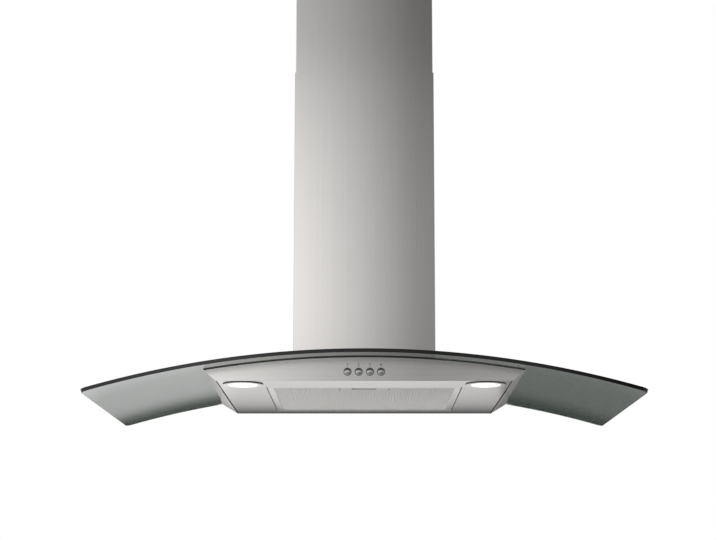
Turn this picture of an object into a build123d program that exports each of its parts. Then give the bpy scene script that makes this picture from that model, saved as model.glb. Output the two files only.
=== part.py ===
from build123d import *
from math import cos, radians, sin, sqrt
import os

# Curved glass range hood for a wall. Millimetres. +X to the right, -Y to the front, +Z up.
# The origin lies in the wall plane, on the centre line, at the level of the flat underside.

# ---- bent glass canopy
GLASS_WIDTH = 900.0
GLASS_DEPTH = 500.0
GLASS_THICK = 6.0
GLASS_BEND_RADIUS = 1600.0      # of the upper face, about a line along Y
GLASS_CREST_HEIGHT = 46.0       # highest line of the upper face above the underside
GLASS_CORNER_RADIUS = 12.0
GASKET_THICK = 1.5
GASKET_WIDTH = 14.0
GASKET_RECESS = 0.8             # from the outer face of the body

# ---- folded steel body
BODY_DEPTH = 455.0
BODY_FLOOR_WIDTH = 478.0        # flat underside
BODY_FRONT_SPREAD = 21.7        # how far each side leans out from floor to glass, at the front
BODY_CREASE_SPREAD = 25.7       # the same where the crease meets the glass
BODY_WALL_SPREAD = 28.6         # the same at the wall
CREASE_FLOOR_SETBACK = 105.0    # crease on the floor edge, behind the front
CREASE_GLASS_SETBACK = 58.0     # crease at the glass, ahead of the wall
STEEL = 1.0
SEAM = 0.4                      # gap between neighbouring steel panels
FACE_GAP = 0.3                  # gap to a curved or moving neighbour
HAIR = 0.05                     # between soft pieces and the curved faces that press on them
PANEL_HEM = 6.0                 # upturned edge of the underside panel
BODY_OVERRUN = 1.12             # the slanted sides are drawn this much past the glass, then cut

# ---- grease filter
FILTER_MARGIN_X = 77.0          # filter's side edge to the edge of the underside
FILTER_MARGIN_Y = 77.0          # filter's front edge to the body's front
FILTER_THICK = 9.0
FILTER_BORDER = 11.5
FILTER_SHEET = 1.0
FILTER_WALL_DISTANCE = 43.0     # rear edge of the filter to the wall
FILTER_GAP = 0.5                # front and side gap in its opening
FILTER_REAR_GAP = 3.0
MESH_SHEET = 0.8
MESH_LAP = 2.0                  # of the mesh under the frame's lip
CRIMP_PITCH = 12.0
PACK_SHEET = 1.04               # crimped sheet, measured along Z
PACK_GAP = 0.1                  # crimped sheet to the mesh layers
PACK_SIDE_GAP = 0.5
PIVOT_INSET = 4.0               # hinge line ahead of the filter's rear edge
PIVOT_RADIUS = 2.0
RUNNING_GAP = 0.06              # radial, pin in hole
PIVOT_REACH = 6.5               # of the pin past the frame
LUG_SIZE = 8.0
EAR_THICK = 2.2
EAR_HEIGHT = 9.0
EAR_LENGTH = 12.0

# ---- filter latch
LATCH_WIDTH = 81.0
LATCH_DEPTH = 30.0
LATCH_SLOT_WIDTH = 41.0
LATCH_SLOT_DEPTH = 21.0
LATCH_BAR_WIDTH = 68.0
LATCH_BAR = 3.0                 # section of the sliding bar
LATCH_NOSE_WIDTH = 16.0
LATCH_WALL = 4.0                # plate between the bar and the filter's frame
LATCH_INSET = 0.2               # plate above the filter's lower face
SPRING_WIRE = 0.6
SPRING_FOLDS = 5
SPRING_MARGIN = 2.0             # springs to the slot and to the bar's end

# ---- lamps
LAMP_MARGIN = 41.0              # lamp centre to the side edge of the underside
LAMP_SETBACK = 39.0             # lamp centre behind the body's front
LAMP_RING_RADIUS = 33.0
LAMP_RING_PROUD = 2.0
LAMP_RING_BEVEL = 1.9
LAMP_HOLE_RADIUS = 28.0
LAMP_LENS_RADIUS = 25.0         # visible part
LAMP_LENS_BULGE = 2.2
LAMP_CAN_RADIUS = 30.0          # to the middle of its flats
LAMP_CAN_SIDES = 8
LENS_TOP = 1.2                  # upper face of the lens above the underside
LENS_FLAT_RADIUS = 14.0         # middle of the lens's lower face
CLIP_COUNT = 3                  # spring clips that hold the ring in the panel's hole
CLIP_SHEET = 1.0
CLIP_WIDTH = 6.0
CLIP_HOOK = 0.9                 # hook outside its clip, over the panel
LAMP_CAN_HEIGHT = 15.0
BULB_WIDTH = 9.0
BULB_LENGTH = 22.0
PINCH_LENGTH = 5.0              # flat end of the bulb
PINCH_WIDTH = 7.0
PINCH_THICK = 2.4
LAMP_HOLDER = 12.0
TRANSFORMER_WIDTH = 40.0
TRANSFORMER_LENGTH = 100.0
TRANSFORMER_HEIGHT = 16.0
TRANSFORMER_SIDE_GAP = 12.0     # to the plenum liner
TRANSFORMER_SETBACK = 60.0      # behind the lamp can
TRANSFORMER_FOOT = 2.5

# ---- push buttons
BUTTON_COUNT = 4
BUTTON_PITCH = 18.0
BUTTON_WIDTH = 12.0
BUTTON_SIDES = 20               # facets round a button and its hole
BUTTON_HEIGHT = 15.0            # above the underside
BUTTON_PROUD = 6.0
BUTTON_DOME = 3.6               # domed part of what stands out
BUTTON_TAPER = 32.0             # degrees, of the dome's side
BUTTON_TRAVEL = 3.0
BUTTON_SKIRT = 2.0              # behind the fascia's sheet
STEM_WIDTH = 5.2                # square stem behind the button
STEM_ENTRY = 8.0                # stem inside the switch block
SWITCH_LENGTH = 34.0
SWITCH_HEIGHT = 24.0
SWITCH_SETBACK = 9.0            # switch block behind the fascia

# ---- plenum, air neck and the tray above the glass
LINER_MARGIN = 7.0              # liner outside the filter opening
NECK_SIDE_GAP = 16.0            # to the inside of the blower box
NECK_FRONT_GAP = 30.0           # behind the front of the blower box
NECK_WALL_DISTANCE = 52.0
NECK_RISE = 12.0                # above the tray
NECK_FLANGE = 12.0
GLASS_CUT_MARGIN = 2.0
TRAY_LIFT = 2.0                 # tray plate above the crest of the glass
TRAY_SHEET = 1.5
TRAY_EDGE = 16.0
BOLT_MARGIN_X = 9.0             # bolt centre outside the blower box
BOLT_MARGIN_Y = 11.0            # bolt centre ahead of the neck and behind it
BOLT = 6.0                      # across flats, as for every bolt and screw here
BOLT_OUT = 8.0                  # bolt above the tray
BOLT_HEAD = 13.0
BOLT_HEAD_HEIGHT = 3.0
BOLT_NUT = 10.0
NUT_THICK = 5.0
GLASS_HOLE = 10.0
WASHER_WIDTH = 18.0

# ---- blower
BOX_SIDE_GAP = 19.2             # to the inside of the lower chimney cover
BOX_FRONT_GAP = 9.2
BOX_HEIGHT = 208.5
LID_SHEET = 1.2
IMPELLER_RADIUS = 62.0
IMPELLER_WIDTH = 116.0
IMPELLER_RING = 3.0             # width of an end ring's face
IMPELLER_RING_THICK = 2.0
IMPELLER_DISC = 1.6
BLADE_COUNT = 28                # and as many facets round the wheel
BLADE_DEPTH = 12.0
BLADE_SHEET = 0.8
BLADE_TURN = 70.0               # degrees that a blade bends forward from root to tip
SCROLL_WIDTH = 128.0
SCROLL_WALL = 2.5
SCROLL_START_RADIUS = 74.0
SCROLL_GROWTH = 7.0             # for each quarter turn
SCROLL_FRONT_GAP = 3.0          # scroll to the box's front cover
SCROLL_NECK_GAP = 3.5           # scroll above the air neck
SCROLL_FLANGE = 8.0
INLET_RADIUS = 50.0
INLET_FLARE = 2.5               # inlet wider outside than inside
MOTOR_RADIUS = 39.0
MOTOR_LENGTH = 61.5
MOTOR_BOSS = 44.0               # across flats
MOTOR_BOSS_HEIGHT = 6.0
SHAFT_RADIUS = 4.0
SHAFT_SEAT = 22.0               # shaft inside the motor
SHAFT_NUT = 13.0                # across flats
HUB = 22.0                      # across flats
HUB_LEFT = 6.0                  # hub on the motor's side of the disc
HUB_RIGHT = 14.0
MOUNT_TURNS = (90.0, 210.0, 330.0)  # degrees from the rear, upwards
MOUNT_WIDTH = 12.0
MOUNT_GAP = 1.0                 # rubber mount to the inlet's edge
MOUNT_THICK = 5.0
ARM_WIDTH = 12.0
ARM_SHEET = 2.0
SPIDER_HUB = 46.0               # across flats
SPIDER_HOLE = 22.0
CAPACITOR_RADIUS = 15.0
CAPACITOR_GAP = 7.5             # to the scroll's side
STUD = 8.0                      # of the capacitor, across flats
STUD_OUT = 7.0                  # stud outside the box
TERMINAL_WIDTH = 90.0
TERMINAL_REAR_GAP = 9.0         # to the collar's base
TERMINAL_HEIGHT = 28.0
TERMINAL_WALL = 2.0
TERMINAL_SETBACK = 3.0          # behind the front of the blower box
GLAND_BODY = 16.0               # across flats
GLAND_NECK = 12.0
GLAND_CAP = 13.0
GLAND_BORE = 7.0
GLAND_NUT = 6.0
GLAND_LENGTH = 16.0

# ---- outlet and non-return flaps
COLLAR_RADIUS = 75.0            # for a 150 mm duct
COLLAR_WALL = 2.5
COLLAR_HEIGHT = 48.0
COLLAR_BASE = 2.5
COLLAR_BASE_EDGE = 7.0          # square base outside the collar
DUCT_WALL_DISTANCE = 90.0
FLAP_SHEET = 1.0
FLAP_RISE = 14.0                # hinge line above the collar's base
FLAP_PIN = 2.6                  # across flats
FLAP_SOCKET = 3.12              # square, wider than the pin's corners
FLAP_PIN_SPACING = 5.0
FLAP_RIM_GAP = 1.5
FLAP_STOP = 4.0                 # stops inside the collar, under the flaps
FLAP_STOP_WIDTH = 24.0
FLAP_PIN_SEAT = 1.5             # pin inside the collar's wall

# ---- chimney covers
CHIMNEY_WIDTH = 250.0
CHIMNEY_DEPTH = 230.0
CHIMNEY_SHEET = 0.8
CHIMNEY_FOLD = 1.6              # outer radius of the folded corners
CHIMNEY_RETURN = 12.0
LOWER_COVER_HEIGHT = 546.0      # above the crest of the glass
UPPER_COVER_LENGTH = 500.0
UPPER_COVER_SHOWN = 290.0       # above the lower cover, as stored
COVER_GAP = 0.9
PAD_THICK = 0.6
PAD_WIDTH = 30.0
PAD_HEIGHT = 12.0
BRACKET_HEIGHT = 20.0
BRACKET_SHEET = 1.5
BRACKET_EAR = 26.0
BRACKET_HOLE_SPACING = 160.0
BRACKET_HOLE_RADIUS = 2.75

# ---- wall fixing and small fasteners
WALL_HOLE_RADIUS = 4.0
WALL_HOLE_SPACING_X = 160.0
WALL_HOLE_SPACING_Z = 150.0
LOWER_HOLE_SPACING = 400.0
LOWER_HOLE_HEIGHT = 10.0
SCREW = 4.0
SCREW_HEAD = 7.6
SCREW_HEAD_HEIGHT = 2.0
SCREW_LENGTH = 8.0
EDGE_DISTANCE = 10.0            # of a sheet-metal screw from the sheet's edge

# ---- values worked out from the sizes above
BEND_CENTRE_Z = GLASS_CREST_HEIGHT - GLASS_BEND_RADIUS
GLASS_UNDER = GLASS_BEND_RADIUS - GLASS_THICK
GASKET_UNDER = GLASS_UNDER - GASKET_THICK
TOP_UNDER = GASKET_UNDER - STEEL
FLOOR_HALF = BODY_FLOOR_WIDTH / 2
CREASE_FLOOR_Y = CREASE_FLOOR_SETBACK - BODY_DEPTH
CREASE_GLASS_Y = -CREASE_GLASS_SETBACK

FILTER_HALF = FLOOR_HALF - FILTER_MARGIN_X
FILTER_REAR = -FILTER_WALL_DISTANCE
FILTER_FRONT = FILTER_MARGIN_Y - BODY_DEPTH
OPENING_HALF = FILTER_HALF + FILTER_GAP
OPENING_FRONT = FILTER_FRONT - FILTER_GAP
OPENING_REAR = FILTER_REAR + FILTER_REAR_GAP
PIVOT_Y = FILTER_REAR - PIVOT_INSET
PIVOT_Z = FILTER_THICK / 2
LINER_HALF = OPENING_HALF + LINER_MARGIN
LINER_FRONT = OPENING_FRONT - LINER_MARGIN
LINER_REAR = OPENING_REAR + LINER_MARGIN

COVER_HALF = CHIMNEY_WIDTH / 2
COVER_INNER_HALF = COVER_HALF - CHIMNEY_SHEET
BOX_HALF = COVER_INNER_HALF - BOX_SIDE_GAP
BOX_FRONT = -(CHIMNEY_DEPTH - CHIMNEY_SHEET - BOX_FRONT_GAP)
NECK_HALF = BOX_HALF - STEEL - NECK_SIDE_GAP
NECK_REAR = -NECK_WALL_DISTANCE
NECK_FRONT = BOX_FRONT + NECK_FRONT_GAP
TRAY_Z = GLASS_CREST_HEIGHT + TRAY_LIFT
TRAY_TOP = TRAY_Z + TRAY_SHEET
LID_Z = TRAY_TOP + BOX_HEIGHT
LID_TOP = LID_Z + LID_SHEET
SCROLL_HALF = SCROLL_WIDTH / 2
SCROLL_FACE = SCROLL_HALF + SCROLL_WALL
IMPELLER_Y = (BOX_FRONT + STEEL + SCROLL_FRONT_GAP + SCROLL_WALL + SCROLL_START_RADIUS
              + SCROLL_GROWTH / 2)
IMPELLER_Z = (TRAY_TOP + NECK_RISE + SCROLL_NECK_GAP + SCROLL_WALL + SCROLL_START_RADIUS
              + SCROLL_GROWTH * 1.5)
MOUNT_RING_RADIUS = INLET_RADIUS + INLET_FLARE + MOUNT_GAP + MOUNT_WIDTH / 2
SPIDER_FACE = -(SCROLL_FACE + MOUNT_THICK)      # plane between the motor and its spider
MOTOR_END = SPIDER_FACE + MOTOR_LENGTH
COLLAR_Y = -DUCT_WALL_DISTANCE
COLLAR_BASE_HALF = COLLAR_RADIUS + COLLAR_BASE_EDGE
TERMINAL_Y = (BOX_FRONT + TERMINAL_SETBACK, COLLAR_Y - COLLAR_BASE_HALF - TERMINAL_REAR_GAP)
TERMINAL_HALF = TERMINAL_WIDTH / 2
TERMINAL_TOP = LID_TOP + TERMINAL_HEIGHT

LOWER_TOP = GLASS_CREST_HEIGHT + LOWER_COVER_HEIGHT
UPPER_TOP = LOWER_TOP + UPPER_COVER_SHOWN
UPPER_BOTTOM = UPPER_TOP - UPPER_COVER_LENGTH
UPPER_HALF = COVER_INNER_HALF - COVER_GAP
UPPER_FRONT = -(CHIMNEY_DEPTH - CHIMNEY_SHEET - COVER_GAP)
UPPER_REAR = -(CHIMNEY_SHEET + SEAM)
BRACKET_MID = UPPER_TOP - BRACKET_HEIGHT / 2
COLLAR_SEAT = LID_TOP + COLLAR_BASE
COLLAR_BORE = COLLAR_RADIUS - COLLAR_WALL
FLAP_Z = COLLAR_SEAT + FLAP_RISE

LAMP_X = FLOOR_HALF - LAMP_MARGIN
LAMP_Y = LAMP_SETBACK - BODY_DEPTH
LAMP_MID = STEEL + LAMP_CAN_HEIGHT / 2
FASCIA_BACK = STEEL - BODY_DEPTH
SWITCH_Y = (FASCIA_BACK + SWITCH_SETBACK, FASCIA_BACK + SWITCH_SETBACK + SWITCH_LENGTH)
SWITCH_HALF = BUTTON_PITCH * BUTTON_COUNT / 2
SWITCH_Z = (BUTTON_HEIGHT - SWITCH_HEIGHT / 2, BUTTON_HEIGHT + SWITCH_HEIGHT / 2)
STEM_END = SWITCH_Y[0] + STEM_ENTRY

LATCH_FRONT = FILTER_FRONT + FILTER_BORDER + FACE_GAP
LATCH_REAR = LATCH_FRONT + LATCH_DEPTH
BAR_FRONT = LATCH_FRONT + LATCH_WALL
BAR_Z = (PIVOT_Z - LATCH_BAR / 2, PIVOT_Z + LATCH_BAR / 2)
BAR_HALF = LATCH_BAR_WIDTH / 2
NOSE_HALF = LATCH_NOSE_WIDTH / 2
SLOT_HALF = LATCH_SLOT_WIDTH / 2
SLOT_REAR = BAR_FRONT + LATCH_SLOT_DEPTH

CORNERS = [(x, y) for x in (-1, 1) for y in (-1, 1)]
ALONG = {"X": Plane.YZ, "Y": Plane.ZX, "Z": Plane.XY}


# ---- shared shapes
def block(x, y, z):
    """A box between the pairs of values x, y and z."""
    size = (x[1] - x[0], y[1] - y[0], z[1] - z[0])
    return Pos((x[0] + x[1]) / 2, (y[0] + y[1]) / 2, (z[0] + z[1]) / 2) * Box(*size)


def both(half_in, half_out, y, z):
    """The same block on the right and on the left."""
    return [block((half_in, half_out), y, z), block((-half_out, -half_in), y, z)]


def rod_x(x, y, z, radius):
    return Pos((x[0] + x[1]) / 2, y, z) * Rot(0, 90, 0) * Cylinder(radius, x[1] - x[0])


def rod_y(x, y, z, radius):
    return Pos(x, (y[0] + y[1]) / 2, z) * Rot(90, 0, 0) * Cylinder(radius, y[1] - y[0])


def rod_z(x, y, z, radius):
    return Pos(x, y, (z[0] + z[1]) / 2) * Cylinder(radius, z[1] - z[0])


def bar(axis, span, place, across, sides=6):
    """Bar with flat sides along an axis, by its width across flats; place lies on its middle line."""
    face = ALONG[axis] * RegularPolygon(across / 2, sides, major_radius=False)
    start = [span[0] if name == axis else value for name, value in zip("XYZ", place)]
    return Pos(*start) * extrude(face, amount=span[1] - span[0])


def arc_z(radius, x):
    """Height of the bend of that radius at x."""
    return BEND_CENTRE_Z + sqrt(radius**2 - x**2)


def bent_band(outer, inner, half, y):
    """A bent sheet between two radii of the glass's bend, cut square at +-half."""
    crest_out, crest_in = BEND_CENTRE_Z + outer, BEND_CENTRE_Z + inner
    edge_out, edge_in = arc_z(outer, half), arc_z(inner, half)
    outline = [
        ThreePointArc((-half, 0, edge_out), (0, 0, crest_out), (half, 0, edge_out)),
        Line((half, 0, edge_out), (half, 0, edge_in)),
        ThreePointArc((half, 0, edge_in), (0, 0, crest_in), (-half, 0, edge_in)),
        Line((-half, 0, edge_in), (-half, 0, edge_out)),
    ]
    return Pos(0, y[1], 0) * extrude(make_face(outline), amount=y[1] - y[0], dir=(0, -1, 0))


def under_bend(radius, half, y, low):
    """Everything between a level and the bend of that radius."""
    edge = arc_z(radius, half)
    outline = [
        ThreePointArc((-half, 0, edge), (0, 0, BEND_CENTRE_Z + radius), (half, 0, edge)),
        Polyline((half, 0, edge), (half, 0, low), (-half, 0, low), (-half, 0, edge)),
    ]
    return Pos(0, y[1], 0) * extrude(make_face(outline), amount=y[1] - y[0], dir=(0, -1, 0))


def polyhedron(loops):
    faces = [Face(Wire.make_polygon(loop, close=True)) for loop in loops]
    return Solid(Shell(faces))


def side_inset(inset):
    """How far a slanted side moves in along X when it moves in by inset square to itself."""
    return inset * sqrt(1 + (BODY_CREASE_SPREAD / arc_z(GLASS_UNDER, FLOOR_HALF)) ** 2)


def body_form(inset, top_radius, low=0.0):
    """The body's outer form, moved in by inset on every side and cut off by a bend on top."""
    floor_half = FLOOR_HALF - side_inset(inset)
    front, rear = -BODY_DEPTH + inset, -inset
    over = BODY_OVERRUN
    lifts = []
    for spread in (BODY_FRONT_SPREAD, BODY_CREASE_SPREAD, BODY_WALL_SPREAD):
        lifts.append((spread * over, arc_z(GLASS_UNDER, FLOOR_HALF + spread) * over))
    roof = GLASS_CREST_HEIGHT + GLASS_THICK
    rows = {}
    for side in (1, -1):
        floor_y = (front, CREASE_FLOOR_Y, rear)
        glass_y = (front, CREASE_GLASS_Y, rear)
        rows[side] = {
            "floor": [(side * floor_half, y, low) for y in floor_y],
            "glass": [(side * (floor_half + out), y, up) for y, (out, up) in zip(glass_y, lifts)],
            "roof": [(side * (floor_half + out), y, roof) for y, (out, up) in zip(glass_y, lifts)],
        }
    right, left = rows[1], rows[-1]
    loops = [
        right["floor"] + left["floor"][::-1],
        right["roof"] + left["roof"][::-1],
    ]
    for row in (right, left):
        floor, glass, top = row["floor"], row["glass"], row["roof"]
        loops += [
            [floor[0], glass[0], glass[1]],
            [floor[0], floor[1], glass[1]],
            [floor[1], glass[1], glass[2]],
            [floor[1], floor[2], glass[2]],
            [glass[0], glass[1], top[1], top[0]],
            [glass[1], glass[2], top[2], top[1]],
        ]
    for end in (0, 2):
        loops.append([right["floor"][end], right["glass"][end], right["roof"][end],
                      left["roof"][end], left["glass"][end], left["floor"][end]])
    reach = FLOOR_HALF + BODY_WALL_SPREAD * over + STEEL
    return polyhedron(loops) & under_bend(top_radius, reach, (-BODY_DEPTH, 0), low)


def folded_block(half, y, z, radius):
    """A box whose upright front edges are rounded, as a folded sheet's are."""
    shape = block((-half, half), y, z)
    return fillet(shape.edges().filter_by(Axis.Z).group_by(Axis.Y)[0], radius)


def cover(half, front, rear, lip, z):
    """A chimney cover: three folded walls with a lip turned in along each rear edge."""
    sheet = CHIMNEY_SHEET
    shape = folded_block(half, (front, rear), z, CHIMNEY_FOLD)
    shape -= folded_block(half - sheet, (front + sheet, rear - sheet), z, CHIMNEY_FOLD - sheet)
    return shape - block((-half + lip, half - lip), (rear - 2 * sheet, rear + sheet), z)


def group(shapes):
    """Separate solids that share a node."""
    solids = []
    for shape in shapes:
        solids += shape.solids()
    return Compound(children=solids)


# ---- glass, gasket and body
def bolt_places():
    half = BOX_HALF + BOLT_MARGIN_X
    ends = (NECK_FRONT - BOLT_MARGIN_Y, NECK_REAR + BOLT_MARGIN_Y)
    return [(x, y) for x in (-half, half) for y in ends]


def neck_hole(margin, z):
    half = NECK_HALF + STEEL + margin
    return block((-half, half), (NECK_FRONT - STEEL - margin, NECK_REAR + STEEL + margin), z)


def glass_canopy():
    trim = GLASS_THICK              # the band is cut larger, then trimmed to the rounded plan
    sheet = bent_band(GLASS_BEND_RADIUS, GLASS_UNDER, GLASS_WIDTH / 2 + trim,
                      (-GLASS_DEPTH - trim, trim))
    low, high = arc_z(GLASS_UNDER, GLASS_WIDTH / 2 + trim) - trim, GLASS_CREST_HEIGHT + trim
    plan = RectangleRounded(GLASS_WIDTH, GLASS_DEPTH, GLASS_CORNER_RADIUS)
    sheet &= Pos(0, -GLASS_DEPTH / 2, low) * extrude(plan, amount=high - low)
    sheet -= neck_hole(GLASS_CUT_MARGIN, (0, high))
    for x, y in bolt_places():
        sheet -= bar("Z", (0, high), (x, y, 0), GLASS_HOLE)
    return sheet


def glass_gasket():
    ring = body_form(GASKET_RECESS, GLASS_UNDER) - body_form(GASKET_WIDTH, GLASS_UNDER, -STEEL)
    return ring & bent_band(GLASS_UNDER - HAIR, GASKET_UNDER + HAIR, GLASS_WIDTH / 2,
                            (-BODY_DEPTH, 0))


def button_places():
    first = -BUTTON_PITCH * (BUTTON_COUNT - 1) / 2
    return [first + BUTTON_PITCH * i for i in range(BUTTON_COUNT)]


def body_shell():
    shell = body_form(0, GASKET_UNDER) - body_form(STEEL, GASKET_UNDER, -STEEL)
    front = -BODY_DEPTH
    for x in button_places():
        shell -= bar("Y", (front - STEEL, front + 2 * STEEL), (x, 0, BUTTON_HEIGHT),
                     BUTTON_WIDTH + 2 * SEAM, BUTTON_SIDES)
    for side in (1, -1):
        shell -= rod_y(side * LOWER_HOLE_SPACING / 2, (-2 * STEEL, STEEL), LOWER_HOLE_HEIGHT,
                       WALL_HOLE_RADIUS)
    return shell


def body_top():
    sheet = bent_band(GASKET_UNDER, TOP_UNDER, GLASS_WIDTH / 2, (-BODY_DEPTH, 0))
    sheet &= body_form(STEEL + SEAM, GASKET_UNDER + STEEL)
    sheet -= neck_hole(SEAM, (0, GLASS_CREST_HEIGHT))
    for x, y in bolt_places():
        sheet -= bar("Z", (0, GLASS_CREST_HEIGHT), (x, y, 0), BOLT + 2 * SEAM)
    return sheet


def underside_panel():
    half = FLOOR_HALF - side_inset(STEEL) - SEAM
    front, rear = -BODY_DEPTH + STEEL + SEAM, -STEEL - SEAM
    panel = block((-half, half), (front, rear), (0, STEEL))
    panel += block((-half, half), (front, front + STEEL), (0, PANEL_HEM))
    panel += block((-half, half), (rear - STEEL, rear), (0, PANEL_HEM))
    hem = STEEL
    panel += block((-OPENING_HALF - hem, OPENING_HALF + hem),
                   (OPENING_FRONT - hem, OPENING_REAR + hem), (0, FILTER_THICK))
    panel -= block((-OPENING_HALF, OPENING_HALF), (OPENING_FRONT, OPENING_REAR),
                   (-STEEL, FILTER_THICK + STEEL))
    nose_half = NOSE_HALF + SEAM
    nose_z = (BAR_Z[0] - SEAM, BAR_Z[1] + SEAM)
    panel -= block((-nose_half, nose_half), (OPENING_FRONT - 2 * hem, OPENING_FRONT), nose_z)
    panel -= bar("X", (-OPENING_HALF - 2 * hem, OPENING_HALF + 2 * hem), (0, PIVOT_Y, PIVOT_Z),
                 2 * (PIVOT_RADIUS + STEEL))
    for x in (-LAMP_X, LAMP_X):
        panel -= rod_z(x, LAMP_Y, (-STEEL, 2 * STEEL), LAMP_HOLE_RADIUS)
    return panel


def plenum_liner():
    walls = block((-LINER_HALF - STEEL, LINER_HALF + STEEL),
                  (LINER_FRONT - STEEL, LINER_REAR + STEEL), (STEEL, GLASS_CREST_HEIGHT))
    walls -= block((-LINER_HALF, LINER_HALF), (LINER_FRONT, LINER_REAR), (0, GLASS_CREST_HEIGHT))
    return walls & under_bend(TOP_UNDER - FACE_GAP, GLASS_WIDTH / 2, (-BODY_DEPTH, 0), 0)


def air_neck():
    top = TRAY_TOP + NECK_RISE
    inner = block((-NECK_HALF, NECK_HALF), (NECK_FRONT, NECK_REAR), (0, 2 * top))
    low = arc_z(TOP_UNDER, NECK_HALF) - STEEL
    tube = neck_hole(0, (low, top))
    flange = neck_hole(NECK_FLANGE, (0, GLASS_CREST_HEIGHT))
    flange &= bent_band(TOP_UNDER, TOP_UNDER - STEEL, GLASS_WIDTH / 2, (-BODY_DEPTH, 0))
    return tube + flange - inner


def glass_bolts():
    bolts = []
    for x, y in bolt_places():
        under = arc_z(TOP_UNDER, abs(x) + BOLT_HEAD / 2) - FACE_GAP
        shank = bar("Z", (under, TRAY_TOP + BOLT_OUT), (x, y, 0), BOLT)
        bolts.append(shank + bar("Z", (under - BOLT_HEAD_HEIGHT, under), (x, y, 0), BOLT_HEAD))
    return group(bolts)


def glass_washers():
    """Square rubber washers under and over the glass at each bolt; they follow its bend."""
    washers = []
    trim, half, room = (-BODY_DEPTH, 0), WASHER_WIDTH / 2, BOLT / sqrt(3) + SEAM
    below = bent_band(GLASS_UNDER - HAIR, GASKET_UNDER + HAIR, GLASS_WIDTH / 2, trim)
    above = under_bend(GLASS_BEND_RADIUS + HAIR, GLASS_WIDTH / 2, trim, 0)
    for x, y in bolt_places():
        pad = block((x - half, x + half), (y - half, y + half), (0, TRAY_Z))
        pad -= block((x - room, x + room), (y - room, y + room), (0, TRAY_Z))
        washers += [pad & below, pad - above]
    return group(washers)


def glass_nuts():
    z = (TRAY_TOP, TRAY_TOP + NUT_THICK)
    nuts = []
    for x, y in bolt_places():
        nut = bar("Z", z, (x, y, 0), BOLT_NUT)
        nuts.append(nut - bar("Z", z, (x, y, 0), BOLT + 2 * RUNNING_GAP))
    return group(nuts)


# ---- tray, blower box and what it holds
def chassis_tray():
    half, front = COVER_INNER_HALF - FACE_GAP, -CHIMNEY_DEPTH + CHIMNEY_SHEET + FACE_GAP
    rear = UPPER_REAR
    tray = block((-half, half), (front, rear), (TRAY_Z, TRAY_TOP + TRAY_EDGE))
    tray -= block((-half + TRAY_SHEET, half - TRAY_SHEET), (front + TRAY_SHEET, 0),
                  (TRAY_TOP, TRAY_TOP + 2 * TRAY_EDGE))
    tray += block((-BOX_HALF, BOX_HALF), (rear, 0), (TRAY_Z, TRAY_TOP))
    tray -= neck_hole(SEAM, (0, TRAY_TOP + STEEL))
    for x, y in bolt_places():
        tray -= bar("Z", (TRAY_Z - STEEL, TRAY_TOP + STEEL), (x, y, 0), BOLT + 2 * SEAM)
    for place in cover_screw_places():
        tray -= screw_hole("X", place)
    return tray


def cover_screw_places():
    z = TRAY_TOP + TRAY_EDGE / 2
    return [(side * COVER_HALF, -CHIMNEY_DEPTH / 2, z) for side in (-1, 1)]


def screw(axis, place, way):
    """Hexagon-head screw: its head seats at place and its shank points way along the axis."""
    seat = place["XYZ".index(axis)]
    shank = bar(axis, sorted((seat, seat + way * SCREW_LENGTH)), place, SCREW)
    return shank + bar(axis, sorted((seat, seat - way * SCREW_HEAD_HEIGHT)), place, SCREW_HEAD)


def screw_hole(axis, place, gap=RUNNING_GAP):
    """What a sheet loses to a screw that seats at place."""
    seat = place["XYZ".index(axis)]
    return bar(axis, (seat - SCREW_LENGTH, seat + SCREW_LENGTH), place, SCREW + 2 * gap)


def wall_hole_places():
    mid_z = (TRAY_TOP + LID_Z) / 2
    return [(sx * WALL_HOLE_SPACING_X / 2, mid_z + sz * WALL_HOLE_SPACING_Z / 2)
            for sx in (-1, 1) for sz in (-1, 1)]


def capacitor_place():
    y = BOX_FRONT + STEEL + EDGE_DISTANCE + CAPACITOR_RADIUS
    return BOX_HALF, y, TRAY_TOP + NECK_RISE + EDGE_DISTANCE + CAPACITOR_RADIUS


def face_screw_places():
    """Screws that hold the front cover to the box."""
    x = BOX_HALF - EDGE_DISTANCE / 2 - STEEL
    return [(sx * x, BOX_FRONT, z)
            for sx in (-1, 1) for z in (TRAY_TOP + 2 * EDGE_DISTANCE, LID_Z - 2 * EDGE_DISTANCE)]


def blower_box():
    box = block((-BOX_HALF, BOX_HALF), (BOX_FRONT + STEEL, 0), (TRAY_TOP, LID_Z))
    box -= block((-BOX_HALF + STEEL, BOX_HALF - STEEL), (BOX_FRONT + 2 * STEEL, -STEEL),
                 (0, 2 * LID_Z))
    box -= block((-BOX_HALF + EDGE_DISTANCE, BOX_HALF - EDGE_DISTANCE),
                 (BOX_FRONT, BOX_FRONT + 3 * STEEL), (0, 2 * LID_Z))
    for x, z in wall_hole_places():
        box -= rod_y(x, (-2 * STEEL, STEEL), z, WALL_HOLE_RADIUS)
    for place in face_screw_places():
        box -= screw_hole("Y", place)
    return box - bar("X", (BOX_HALF - 2 * STEEL, BOX_HALF + STEEL), capacitor_place(),
                     STUD + 2 * SEAM)


def blower_cover():
    cover_plate = block((-BOX_HALF, BOX_HALF), (BOX_FRONT, BOX_FRONT + STEEL), (TRAY_TOP, LID_Z))
    for place in face_screw_places():
        cover_plate -= screw_hole("Y", place)
    return cover_plate


def lid_screw_places():
    inset = COLLAR_BASE_HALF - EDGE_DISTANCE / 2
    return [(sx * inset, COLLAR_Y + sy * inset, COLLAR_SEAT) for sx, sy in CORNERS]


def blower_lid():
    lid = block((-BOX_HALF, BOX_HALF), (BOX_FRONT, 0), (LID_Z, LID_TOP))
    lid -= rod_z(0, COLLAR_Y, (LID_Z - STEEL, LID_TOP + STEEL), COLLAR_BORE)
    for place in lid_screw_places():
        lid -= screw_hole("Z", place)
    return lid


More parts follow.
